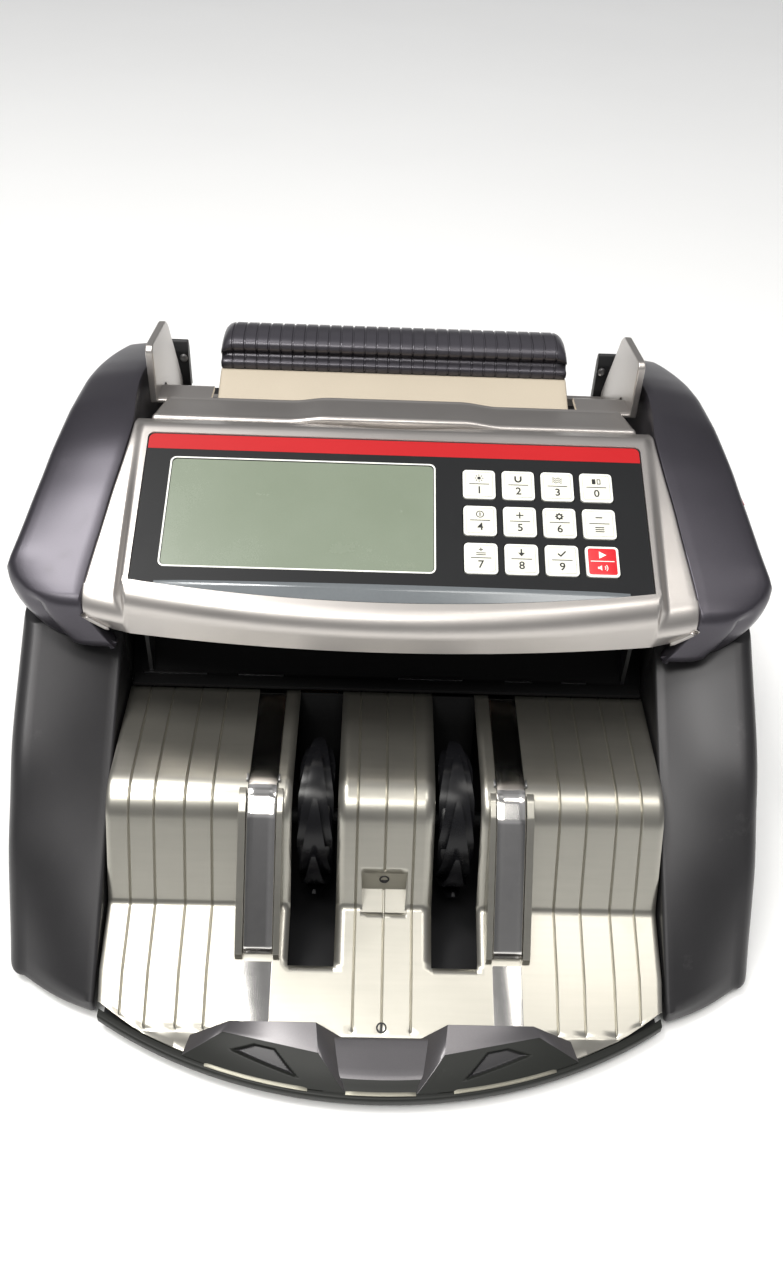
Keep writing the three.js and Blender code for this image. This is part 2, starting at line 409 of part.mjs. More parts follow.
// ---- rear cover, inlet, fuse, knob, switch ------------------------------------------------------
{
  const outline = [[-124, BASE_Z + 0.1], [124, BASE_Z + 0.1], [124, 109.7], [104.3, 109.7], [104.3, 130.2], [75.2, 130.2], [75.2, 150.2], [-75.2, 150.2], [-75.2, 130.2], [-104.3, 130.2], [-104.3, 109.7], [-124, 109.7]];
  const holes = [rr(-88, 36, 29, 21, 2, 2), ringXZ(-60, 36, 6.4, 16), ring(0, 144.5, 3.0, 12)];
  for (let i = 0; i < 6; i++) holes.push(rr(20 + i * 9, 70, 4, 34, 1.9, 2));
  put('rear_cover', slabY(outline, REAR_Y - 2.5, REAR_Y, holes), 'dark');
  put('power_inlet', cut(join(slabY(rr(-88, 36, 28.2, 20.2, 1.8, 2), REAR_Y - 16, REAR_Y - 0.2)), slabY(rr(-88, 36, 23, 15.5, 3, 2), REAR_Y - 12, REAR_Y + 2)), 'black');
  put('fuse_cap', join(slabY(ringXZ(-60, 36, 5.9, 20), REAR_Y - 14, REAR_Y + 1.4), slabY(rr(-60, 36, 9, 2.2, 0.4, 1), REAR_Y + 1, REAR_Y + 2.6)), 'black');
  put('gap_adjust_knob', join(slabY(ringXZ(0, 144.5, 2.6, 12), REAR_Y - 9, REAR_Y + 1), slabY(ring(0, 144.5, 6.8, 18), REAR_Y + 0.4, REAR_Y + 3.3)), 'black');
}
function ringXZ(cx, cz, r, n) { return ring(cx, cz, r, n); }
{
  // rocker on the right side wall, pivot along Y
  const x = 130.6;
  const rk = slabY([[x, 132.4], [x + 5.2, 132.0], [x + 6.0, 132.6], [x + 4.6, 138.6], [x + 8.6, 145.6], [x + 7.4, 146.6], [x, 146.2]], 26.6, 41.4);
  put('power_switch', rk, 'red');
}

// ---- steel side frames ---------------------------------------------------------------------------
{
  const prof = [[-62, 14.6], [124, 14.6], [124, 120], [104, 129], [58, 129], [50, 146], [26, 146], [6, 130], [-8, 112], [-8, 73], [-60, 69]];
  const holes = [ring(...STACK, 3.4, 16), ring(...FEED, 3.4, 16), ring(...PICK, 3.4, 16), ring(...RETARD, 2.4, 12)];
  put('frame_plate_right', slabX(prof, FRAME_X0, FRAME_X1, holes), 'black');
  put('frame_plate_left', slabX(prof, -FRAME_X1, -FRAME_X0, holes), 'black');
}
// ---- stacker wheels and shaft ----------------------------------------------------------------------
{
  put('stacker_shaft', turned(STACK, [[-96.6, 0], [-96.6, 3], [96.6, 3], [96.6, 0]], 20), 'steel');
  const wheel = (x0, x1) => {
    const pts = [], n = 12;
    for (let i = 0; i < n; i++) {
      const a = i * 2 * Math.PI / n;
      for (const [r, o] of [[WHEEL_R - 7.5, 0], [WHEEL_R - 1.2, 0.36], [WHEEL_R, 0.44]]) pts.push([STACK[0] + r * Math.cos(a + o), STACK[1] + r * Math.sin(a + o)]);
    }
    return slabX(pts, x0, x1, [ring(...STACK, 3.3, 16)]);
  };
  put('stacker_wheel_left', wheel(-33.2, -19.3), 'wheel');
  put('stacker_wheel_right', wheel(19.3, 33.2), 'wheel');
  put('stacker_pulley', cut(rod(STACK, 11, 84, 92.5, 28), rod(STACK, 3.3, 80, 96, 16)), 'white');
}
// ---- feed, pickup and retard rollers ---------------------------------------------------------------
{
  put('feed_roller', turned(FEED, [[-96.6, 0], [-96.6, 3], [-92.5, 3], [-92.5, 4.6], [-84, 4.6], [-84, 3], [-38, 3], [-38, 15], [-16, 15], [-16, 5],
    [16, 5], [16, 15], [38, 15], [38, 3], [96.6, 3], [96.6, 0]], 32), 'roller');
  put('feed_pulley', cut(rod(FEED, 11, 75, 83.4, 28), rod(FEED, 3.3, 70, 96, 16)), 'white');
  put('pickup_roller', turned(PICK, [[-96.6, 0], [-96.6, 3], [-92.5, 3], [-92.5, 4.6], [-84, 4.6], [-84, 3], [-34, 3], [-34, 15.6], [-19, 15.6], [-19, 4.5],
    [19, 4.5], [19, 15.6], [34, 15.6], [34, 3], [96.6, 3], [96.6, 0]], 32), 'roller');
  put('retard_roller', turned(RETARD, [[-96.6, 0], [-96.6, 2], [-30, 2], [-30, 10], [30, 10], [30, 2], [96.6, 2], [96.6, 0]], 24), 'rubber');
  const hole = (cs, r) => hullLoop(cs.map(([y, z, q]) => [y, z, q + r]));
  const main = [[...STACK, 11], [...MOTOR, 9]], upper = [[...FEED, 11], [...MOTOR, 9]];
  put('stacker_belt', slabX(hole(main, 2.0), 85, 91.5, [hole(main, 0.4)]), 'belt');
  put('feed_belt', slabX(hole(upper, 2.0), 76, 82.5, [hole(upper, 0.4)]), 'belt');
  const small = [[...FEED, 4.6], [...PICK, 4.6]];
  put('pickup_belt', slabX(hole(small, 1.7), -91.5, -85, [hole(small, 0.4)]), 'belt');
}
// ---- throat plate behind the stacker opening -------------------------------------------------------------
{
  const p = [[-10.8, 76.0], [-6, 82], [6, 96], [12, 104], [14.5, 118]];
  put('throat_plate', slabX([...p, ...offsetPath(p, -1.6).reverse()], -93.6, 93.6), 'black');
}
// ---- motor, power supply, board ------------------------------------------------------------------------
{
  put('main_motor', turned(MOTOR, [[4, 0], [4, 24], [7, 27], [58, 27], [61, 24], [61, 7], [73.5, 7], [73.5, 0]], 28), 'steel');
  put('motor_bracket', slabX([[66, BASE_Z + 3.3], [124, BASE_Z + 3.3], [124, 66], [112, 76], [80, 76], [66, 62]], 61.3, 63.3, [ring(...MOTOR, 7.4, 20)]), 'steel');
  put('motor_pulley', turned(MOTOR, [[74, 0], [74, 9], [92.6, 9], [92.6, 0]], 24), 'white');
  put('power_transformer', box(-70, -22, 36, 88, BASE_Z + 3.4, 56), 'copper');
  put('main_board', box(-48, 76, 130.2, 131.8, BASE_Z + 6, 112), 'pcb');
}
export default group;
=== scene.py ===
import json, math
import bpy, bmesh
import numpy as np
from mathutils import Matrix, Vector

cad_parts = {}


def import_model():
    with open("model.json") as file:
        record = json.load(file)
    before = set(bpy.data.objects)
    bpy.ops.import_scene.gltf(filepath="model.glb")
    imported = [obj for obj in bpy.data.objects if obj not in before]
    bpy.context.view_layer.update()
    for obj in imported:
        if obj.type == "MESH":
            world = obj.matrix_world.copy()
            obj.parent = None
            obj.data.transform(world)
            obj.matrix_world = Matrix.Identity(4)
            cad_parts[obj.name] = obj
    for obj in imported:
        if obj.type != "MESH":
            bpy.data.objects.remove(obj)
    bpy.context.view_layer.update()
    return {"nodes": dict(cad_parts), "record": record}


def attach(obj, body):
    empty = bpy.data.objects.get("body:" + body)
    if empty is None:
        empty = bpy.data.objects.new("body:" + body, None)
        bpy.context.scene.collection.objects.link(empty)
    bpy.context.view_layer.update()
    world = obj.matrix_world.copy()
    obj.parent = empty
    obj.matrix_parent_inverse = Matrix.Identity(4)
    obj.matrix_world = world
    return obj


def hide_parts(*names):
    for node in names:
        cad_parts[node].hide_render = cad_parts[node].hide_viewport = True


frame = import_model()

# Lengths below are millimetres in the design frame; W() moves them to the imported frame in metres.
def W(p): return (p[0] * 0.001, (p[1] + 1.5) * 0.001, (p[2] - 6.0) * 0.001)
def lerp(a, b, t): return a + (b - a) * t
def clamp(x, a=0.0, b=1.0): return max(a, min(b, x))
def sstep(x, a=0.0, b=1.0):
    t = clamp((x - a) / (b - a)); return t * t * (3 - 2 * t)
def lin(tab, x):
    if x <= tab[0][0]: return tab[0][1]
    for (x0, y0), (x1, y1) in zip(tab, tab[1:]):
        if x <= x1: return lerp(y0, y1, (x - x0) / (x1 - x0))
    return tab[-1][1]
def smooth_tab(tab):
    xs = np.array([a for a, _ in tab], float); ys = np.array([b for _, b in tab], float)
    h = np.diff(xs); d = np.diff(ys) / h; m = np.zeros(len(xs))
    for i in range(1, len(xs) - 1):
        if d[i - 1] * d[i] > 0:
            w1, w2 = 2 * h[i] + h[i - 1], h[i] + 2 * h[i - 1]
            m[i] = (w1 + w2) / (w1 / d[i - 1] + w2 / d[i])
    m[0], m[-1] = d[0], d[-1]
    def f(x):
        if x <= xs[0]: return float(ys[0] + m[0] * (x - xs[0]))
        if x >= xs[-1]: return float(ys[-1] + m[-1] * (x - xs[-1]))
        i = int(np.searchsorted(xs, x)) - 1; t = (x - xs[i]) / h[i]
        return float(ys[i] * (1 + 2 * t) * (1 - t) ** 2 + h[i] * m[i] * t * (1 - t) ** 2 + ys[i + 1] * t * t * (3 - 2 * t) + h[i] * m[i + 1] * t * t * (t - 1))
    return f
def lspace(a, b, n): return [a + (b - a) * i / (n - 1) for i in range(n)]

# ---------------------------------------------------------------- camera
R = [[0.999345670010155, -0.0005693679535312286, 0.036165005904711875],
     [0.027739698145118025, -0.6295785941203405, -0.7764414356358587],
     [0.02321079444508715, 0.776936593066377, -0.6291508478700787]]
cam = bpy.data.cameras.new("view_cam")
cam.lens = 1050 * 36 / 1280; cam.sensor_width = 36; cam.sensor_fit = 'AUTO'
cam.clip_start = 0.01; cam.clip_end = 60
cam_o = bpy.data.objects.new("view_cam", cam)
bpy.context.scene.collection.objects.link(cam_o)
cam_o.matrix_world = Matrix(((R[0][0], -R[1][0], -R[2][0], -0.00888), (R[0][1], -R[1][1], -R[2][1], -0.3255),
                             (R[0][2], -R[1][2], -R[2][2], 0.3525), (0, 0, 0, 1)))
bpy.context.scene.camera = cam_o

# ---------------------------------------------------------------- materials
def shade(name, col, rough=0.4, metal=0.0, var=0.05, vs=18.0, rv=0.06, bump=0.05, bs=1600.0, stretch=(1, 1, 1),
          coat=0.0, coat_r=0.15, spec=0.5, wear=None, wear_amt=0.25, ws=55.0, tint=None, sheen=0.0, aniso=0.0, depth=0.00012):
    m = bpy.data.materials.new(name); m.use_nodes = True
    nt = m.node_tree; nt.nodes.clear(); N = nt.nodes.new; L = nt.links.new
    out = N('ShaderNodeOutputMaterial'); b = N('ShaderNodeBsdfPrincipled'); L(b.outputs[0], out.inputs[0])
    b.inputs['Metallic'].default_value = metal
    b.inputs['Specular IOR Level'].default_value = spec
    b.inputs['Coat Weight'].default_value = coat
    b.inputs['Coat Roughness'].default_value = coat_r
    b.inputs['Sheen Weight'].default_value = sheen
    b.inputs['Anisotropic'].default_value = aniso
    tc = N('ShaderNodeTexCoord'); mp = N('ShaderNodeMapping'); L(tc.outputs['Object'], mp.inputs[0])
    mp.inputs['Scale'].default_value = stretch
    n1 = N('ShaderNodeTexNoise'); L(tc.outputs['Object'], n1.inputs['Vector'])
    n1.inputs['Scale'].default_value = vs; n1.inputs['Detail'].default_value = 5; n1.inputs['Roughness'].default_value = 0.6
    n2 = N('ShaderNodeTexNoise'); L(mp.outputs[0], n2.inputs['Vector'])
    n2.inputs['Scale'].default_value = bs; n2.inputs['Detail'].default_value = 3
    n3 = N('ShaderNodeTexNoise'); L(tc.outputs['Object'], n3.inputs['Vector'])
    n3.inputs['Scale'].default_value = ws; n3.inputs['Detail'].default_value = 8; n3.inputs['Roughness'].default_value = 0.7
    # broad tone drift plus fine grain
    t2 = tint or col
    mx = N('ShaderNodeMix'); mx.data_type = 'RGBA'; mx.blend_type = 'MIX'
    mr = N('ShaderNodeMapRange'); L(n1.outputs['Fac'], mr.inputs['Value'])
    mr.inputs['From Min'].default_value = 0.3; mr.inputs['From Max'].default_value = 0.7
    L(mr.outputs[0], mx.inputs['Factor'])
    mx.inputs[6].default_value = (*[c * (1 - var) for c in col], 1)
    mx.inputs[7].default_value = (*[min(1, c * (1 + var)) for c in t2], 1)
    g = N('ShaderNodeMix'); g.data_type = 'RGBA'; g.blend_type = 'MULTIPLY'; g.inputs['Factor'].default_value = 1.0
    gr = N('ShaderNodeMapRange'); L(n2.outputs['Fac'], gr.inputs['Value'])
    gr.inputs['From Min'].default_value = 0.25; gr.inputs['From Max'].default_value = 0.75
    gr.inputs['To Min'].default_value = 1 - var * 0.8; gr.inputs['To Max'].default_value = 1 + var * 0.4
    cmb = N('ShaderNodeCombineColor'); [L(gr.outputs[0], cmb.inputs[i]) for i in range(3)]
    L(mx.outputs[2], g.inputs[6]); L(cmb.outputs[0], g.inputs[7])
    last = g.outputs[2]
    wr = N('ShaderNodeMapRange'); L(n3.outputs['Fac'], wr.inputs['Value'])
    wr.inputs['From Min'].default_value = 0.60; wr.inputs['From Max'].default_value = 0.74
    if wear:
        w = N('ShaderNodeMix'); w.data_type = 'RGBA'; w.blend_type = 'MIX'
        wm = N('ShaderNodeMath'); wm.operation = 'MULTIPLY'; wm.inputs[1].default_value = wear_amt
        L(wr.outputs[0], wm.inputs[0]); L(wm.outputs[0], w.inputs['Factor'])
        L(last, w.inputs[6]); w.inputs[7].default_value = (*wear, 1); last = w.outputs[2]
    L(last, b.inputs['Base Color'])
    # roughness: drift, grain and smudges
    r1 = N('ShaderNodeMapRange'); L(n1.outputs['Fac'], r1.inputs['Value'])
    r1.inputs['From Min'].default_value = 0.3; r1.inputs['From Max'].default_value = 0.7
    r1.inputs['To Min'].default_value = rough - rv * 0.5; r1.inputs['To Max'].default_value = rough + rv * 0.5
    r2 = N('ShaderNodeMath'); r2.operation = 'MULTIPLY_ADD'; L(wr.outputs[0], r2.inputs[0]); r2.inputs[1].default_value = rv
    L(r1.outputs[0], r2.inputs[2])
    r3 = N('ShaderNodeMath'); r3.operation = 'MULTIPLY_ADD'; L(n2.outputs['Fac'], r3.inputs[0]); r3.inputs[1].default_value = rv * 0.5
    L(r2.outputs[0], r3.inputs[2]); r3.use_clamp = True
    L(r3.outputs[0], b.inputs['Roughness'])
    bp = N('ShaderNodeBump'); bp.inputs['Strength'].default_value = bump; bp.inputs['Distance'].default_value = depth
    L(n2.outputs['Fac'], bp.inputs['Height']); L(bp.outputs[0], b.inputs['Normal'])
    return m

M = {
    'silver': shade('m_silver', (0.545, 0.515, 0.49), 0.33, 0.88, var=0.03, rv=0.05, bump=0.10, bs=2600, coat=0.25, coat_r=0.22, wear=(0.5, 0.48, 0.46), wear_amt=0.15),
    'tray': shade('m_tray', (0.455, 0.44, 0.39), 0.29, 0.94, var=0.045, rv=0.05, bump=0.035, bs=320, stretch=(0.10, 1.6, 1.6), wear=(0.50, 0.48, 0.44), wear_amt=0.08),
    'matte': shade('m_matte', (0.006, 0.006, 0.0062), 0.75, 0.0, var=0.2, rv=0.08, bump=0.10, bs=900, spec=0.12, wear=(0.012, 0.012, 0.012), wear_amt=0.3),
    'dark': shade('m_dark', (0.070, 0.065, 0.078), 0.34, 0.72, var=0.07, rv=0.05, bump=0.14, bs=2200, coat=0.18, coat_r=0.25, wear=(0.11, 0.105, 0.115), wear_amt=0.25, spec=0.5),
    'cheek': shade('m_cheek', (0.046, 0.045, 0.047), 0.38, 0.60, var=0.07, rv=0.06, bump=0.10, bs=2000, coat=0.0, coat_r=0.3, wear=(0.14, 0.13, 0.135), wear_amt=0.3),
    'stop': shade('m_stop', (0.165, 0.158, 0.165), 0.33, 0.75, var=0.06, rv=0.05, bump=0.08, bs=2200, coat=0.2, coat_r=0.2, wear=(0.16, 0.155, 0.15), wear_amt=0.3),
    'stopline': shade('m_stopline', (0.24, 0.23, 0.19), 0.38, 0.85, var=0.06, rv=0.06, bump=0.05, bs=900, wear=(0.30, 0.29, 0.25), wear_amt=0.2),
    'stopdark': shade('m_stopdark', (0.014, 0.015, 0.013), 0.46, 0.0, var=0.10, rv=0.08, bump=0.08, bs=2200, spec=0.32, wear=(0.06, 0.06, 0.055), wear_amt=0.3),
    'black': shade('m_black', (0.012, 0.012, 0.013), 0.45, 0.0, var=0.15, rv=0.10, bump=0.12, bs=1500, wear=(0.03, 0.03, 0.03), wear_amt=0.3),
    'handle': shade('m_handle', (0.070, 0.066, 0.078), 0.30, 0.55, var=0.08, rv=0.06, bump=0.10, bs=2200, coat=0.25, coat_r=0.2, wear=(0.12, 0.115, 0.12), wear_amt=0.25),
    'film': shade('m_film', (0.009, 0.0095, 0.0105), 0.42, 0.0, var=0.08, rv=0.06, bump=0.05, bs=3000, spec=0.28, wear=(0.05, 0.05, 0.052), wear_amt=0.18),
    'filmband': shade('m_filmband', (0.16, 0.175, 0.185), 0.16, 0.15, var=0.06, rv=0.04, bump=0.02, bs=900, coat=0.3, coat_r=0.15),
    'red': shade('m_red', (0.46, 0.006, 0.009), 0.42, 0.0, var=0.03, rv=0.05, bump=0.03, bs=2600, spec=0.3, coat=0.0, coat_r=0.2, wear=(0.6, 0.012, 0.015), wear_amt=0.2),
    'keyred': shade('m_keyred', (0.62, 0.012, 0.020), 0.38, 0.0, var=0.05, rv=0.06, bump=0.06, bs=2600, coat=0.15, coat_r=0.25),
    'cream': shade('m_cream', (0.80, 0.79, 0.69), 0.40, 0.0, var=0.025, rv=0.06, bump=0.05, bs=2600, wear=(0.70, 0.68, 0.58), wear_amt=0.3),
    'creamrim': shade('m_creamrim', (0.90, 0.90, 0.84), 0.34, 0.0, var=0.02, rv=0.05, bump=0.04, bs=2600),
    'ink': shade('m_ink', (0.018, 0.018, 0.017), 0.5, 0.0, var=0.10, rv=0.08, bump=0.04, bs=2600),
    'inkgrey': shade('m_inkgrey', (0.30, 0.32, 0.29), 0.5, 0.0, var=0.10, rv=0.08, bump=0.04, bs=2600),
    'white': shade('m_white', (0.86, 0.85, 0.82), 0.42, 0.0, var=0.03, rv=0.07, bump=0.06, bs=1800, wear=(0.7, 0.68, 0.62), wear_amt=0.3),
    'lcd': shade('m_lcd', (0.205, 0.245, 0.175), 0.26, 0.0, var=0.08, vs=9, rv=0.05, bump=0.012, bs=3500, coat=0.25, coat_r=0.06, tint=(0.215, 0.250, 0.190), spec=0.5),
    'chrome': shade('m_chrome', (0.74, 0.725, 0.70), 0.11, 1.0, var=0.03, rv=0.05, bump=0.006, bs=320, wear=(0.6, 0.58, 0.55), wear_amt=0.3, ws=30),
    'steel': shade('m_steel', (0.52, 0.52, 0.53), 0.30, 1.0, var=0.08, rv=0.12, bump=0.12, bs=700, stretch=(0.2, 3, 3), wear=(0.3, 0.28, 0.26), wear_amt=0.4),
    'wheel': shade('m_wheel', (0.006, 0.006, 0.007), 0.22, 0.0, var=0.2, rv=0.08, bump=0.03, bs=1200, coat=0.0, coat_r=0.10, spec=0.28, wear=(0.03, 0.03, 0.03), wear_amt=0.3),
    'rubber': shade('m_rubber', (0.018, 0.018, 0.018), 0.78, 0.0, var=0.15, rv=0.10, bump=0.35, bs=1400, wear=(0.05, 0.05, 0.048), wear_amt=0.5),
    'beige': shade('m_beige', (0.56, 0.49, 0.385), 0.36, 0.15, var=0.035, vs=9, rv=0.06, bump=0.07, bs=1800, coat=0.15, coat_r=0.3, wear=(0.55, 0.48, 0.38), wear_amt=0.2),
    'pcb': shade('m_pcb', (0.012, 0.085, 0.035), 0.38, 0.0, var=0.2, vs=120, rv=0.1, bump=0.15, bs=700, coat=0.3, wear=(0.10, 0.16, 0.08), wear_amt=0.6, ws=260),
    'copper': shade('m_copper', (0.42, 0.20, 0.09), 0.36, 0.75, var=0.15, rv=0.12, bump=0.30, bs=320, stretch=(0.2, 0.2, 6)),
    'roller': shade('m_roller', (0.50, 0.16, 0.07), 0.72, 0.0, var=0.10, rv=0.1, bump=0.30, bs=1200, wear=(0.2, 0.09, 0.05), wear_amt=0.5),
    'belt': shade('m_belt', (0.02, 0.02, 0.02), 0.7, 0.0, var=0.2, rv=0.1, bump=0.35, bs=900, wear=(0.06, 0.06, 0.06), wear_amt=0.4),
}
SLOTS = [m.get("slot") for m in frame["record"].get("materials", [])]

# ---------------------------------------------------------------- mesh helpers
def finish_mesh(name, me, mat, sharp=32.0, up=None, recalc=True, world=True, mats=(), mi=None):
    if mi: me.polygons.foreach_set('material_index', mi)
    bm = bmesh.new(); bm.from_mesh(me)
    bmesh.ops.remove_doubles(bm, verts=bm.verts, dist=(2e-6 if world else 0.002))
    bmesh.ops.dissolve_degenerate(bm, dist=1e-7 if world else 1e-4, edges=bm.edges)
    if recalc: bmesh.ops.recalc_face_normals(bm, faces=bm.faces)
    if up is not None:
        tot = sum((f.normal.dot(Vector(up)) * f.calc_area() for f in bm.faces), 0.0)
        if tot < 0: bmesh.ops.reverse_faces(bm, faces=bm.faces)
    bm.to_mesh(me); bm.free()
    me.shade_smooth(); me.set_sharp_from_angle(angle=math.radians(sharp))
    for q in (mat, *mats): me.materials.append(M[q])
    o = bpy.data.objects.new(name, me); bpy.context.scene.collection.objects.link(o)
    return o
def obj(name, verts, faces, mat, **k):
    me = bpy.data.meshes.new(name); me.from_pydata([W(v) for v in verts], [], faces); me.update()
    return finish_mesh(name, me, mat, **k)
def bevel(o, w=0.4, seg=2, ang=30):
    b = o.modifiers.new('edge', 'BEVEL'); b.width = w * 0.001; b.segments = seg; b.limit_method = 'ANGLE'
    b.angle_limit = math.radians(ang); b.harden_normals = True; b.use_clamp_overlap = True
    return o
def thick(o, t):
    s = o.modifiers.new('wall', 'SOLIDIFY'); s.thickness = t * 0.001; s.offset = -1; s.use_even_offset = False
    return o
def put(o, body, slot, *nodes):
    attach(o, body)
    if nodes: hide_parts(*nodes)
    return o
class Grid:
    """quad grid builder with optional skipped cells"""
    def __init__(s): s.v, s.f = [], []
    def sheet(s, rows, skip=None, wrap=False):
        n, m, k = len(rows), len(rows[0]), len(s.v)
        for r in rows: s.v.extend(r)
        for i in range(n - 1):
            for j in range(m if wrap else m - 1):
                if skip and skip(i, j): continue
                j2 = (j + 1) % m
                s.f.append((k + i * m + j, k + i * m + j2, k + (i + 1) * m + j2, k + (i + 1) * m + j))
        return k
    def cap(s, pts, flip=False):
        k = len(s.v); s.v.extend(pts); ids = list(range(k, k + len(pts)))
        s.f.append(tuple(reversed(ids)) if flip else tuple(ids))
def extr_x(poly, x0, x1):
    """closed prism: (y,z) polygon carried along X"""
    g = Grid(); A = [(x0, y, z) for y, z in poly]; B = [(x1, y, z) for y, z in poly]
    g.sheet([A, B], wrap=True); g.cap(A); g.cap(B, True); return g
def extr_y(poly, y0, y1):
    g = Grid(); A = [(x, y0, z) for x, z in poly]; B = [(x, y1, z) for x, z in poly]
    g.sheet([A, B], wrap=True); g.cap(A); g.cap(B, True); return g
def extr_z(poly, z0, z1):
    g = Grid(); A = [(x, y, z0) for x, y in poly]; B = [(x, y, z1) for x, y in poly]
    g.sheet([A, B], wrap=True); g.cap(A); g.cap(B, True); return g
def round_poly(pts, rad, n=6):
    """closed polygon with each corner filleted"""
    out = []; N_ = len(pts)
    for i, p in enumerate(pts):
        r = rad[i] if isinstance(rad, (list, tuple)) else rad
        a, b = np.array(pts[i - 1], float), np.array(pts[(i + 1) % N_], float); p = np.array(p, float)
        u, w = a - p, b - p; lu, lw = np.linalg.norm(u), np.linalg.norm(w); u /= lu; w /= lw
        c = float(np.clip(np.dot(u, w), -1, 1)); half = math.acos(c) / 2
        if r <= 0 or half > 1.56: out.append(tuple(p)); continue
        d = min(r / math.tan(half), lu * 0.48, lw * 0.48); rr_ = d * math.tan(half)
        ctr = p + (u + w) / np.linalg.norm(u + w) * (rr_ / math.sin(half))
        s, e = p + u * d, p + w * d
        a0 = math.atan2(*(s - ctr)[::-1]); a1 = math.atan2(*(e - ctr)[::-1])
        da = (a1 - a0 + math.pi) % (2 * math.pi) - math.pi
        for k in range(n + 1):
            t = a0 + da * k / n; out.append((ctr[0] + rr_ * math.cos(t), ctr[1] + rr_ * math.sin(t)))
    return out
def fillet_path(pts, rad, n=8):
    out = [tuple(pts[0])]
    for i in range(1, len(pts) - 1):
        q = round_poly([pts[i - 1], pts[i], pts[i + 1]], [0, rad[i], 0], n)
        out += q[1:-1] if rad[i] > 0 else [tuple(pts[i])]
    out.append(tuple(pts[-1])); return out
def densify(path, step):
    out = [path[0]]
    for a, b in zip(path, path[1:]):
        d = math.dist(a, b); n = max(1, int(math.ceil(d / step)))
        for k in range(1, n + 1): out.append(tuple(lerp(a[i], b[i], k / n) for i in range(len(a))))
    return out
def offset_path(p, d):
    out = []
    for i, q in enumerate(p):
        a, b = p[max(0, i - 1)], p[min(len(p) - 1, i + 1)]
        dx, dy = b[0] - a[0], b[1] - a[1]; l = math.hypot(dx, dy)
        out.append((q[0] - dy / l * d, q[1] + dx / l * d))
    return out
def rrect(cx, cy, w, h, r, n=5):
    p = []
    for sx, sy, a0 in ((1, -1, -90), (1, 1, 0), (-1, 1, 90), (-1, -1, 180)):
        for i in range(n + 1):
            a = math.radians(a0 + 90 * i / n); p.append((cx + sx * (w / 2 - r) + r * math.cos(a), cy + sy * (h / 2 - r) + r * math.sin(a)))
    return p
def circ(cx, cy, r, n=24, ph=0.0): return [(cx + r * math.cos(ph + i * 2 * math.pi / n), cy + r * math.sin(ph + i * 2 * math.pi / n)) for i in range(n)]
def turned_x(c, prof, n=36):
    """lathe about X: prof of (x, r), closed at both ends"""
    g = Grid(); rows = []
    for x, r in prof: rows.append([(x, c[0] + r * math.cos(a), c[1] + r * math.sin(a)) for a in [2 * math.pi * k / n for k in range(n)]])
    g.sheet(rows, wrap=True); g.cap(rows[0]); g.cap(rows[-1], True); return g
def turned_y(c, prof, n=36):
    g = Grid(); rows = []
    for y, r in prof: rows.append([(c[0] + r * math.cos(a), y, c[1] + r * math.sin(a)) for a in [2 * math.pi * k / n for k in range(n)]])
    g.sheet(rows, wrap=True); g.cap(rows[0]); g.cap(rows[-1], True); return g
def turned_z(c, prof, n=36):
    g = Grid(); rows = []
    for z, r in prof: rows.append([(c[0] + r * math.cos(a), c[1] + r * math.sin(a), z) for a in [2 * math.pi * k / n for k in range(n)]])
    g.sheet(rows, wrap=True); g.cap(rows[0]); g.cap(rows[-1], True); return g
def O(name, g, mat, **k): return obj(name, g.v, g.f, mat, **k)
def mir(g, s):
    if s < 0: g.v = [(-x, y, z) for x, y, z in g.v]; g.f = [tuple(reversed(f)) for f in g.f]
    return g

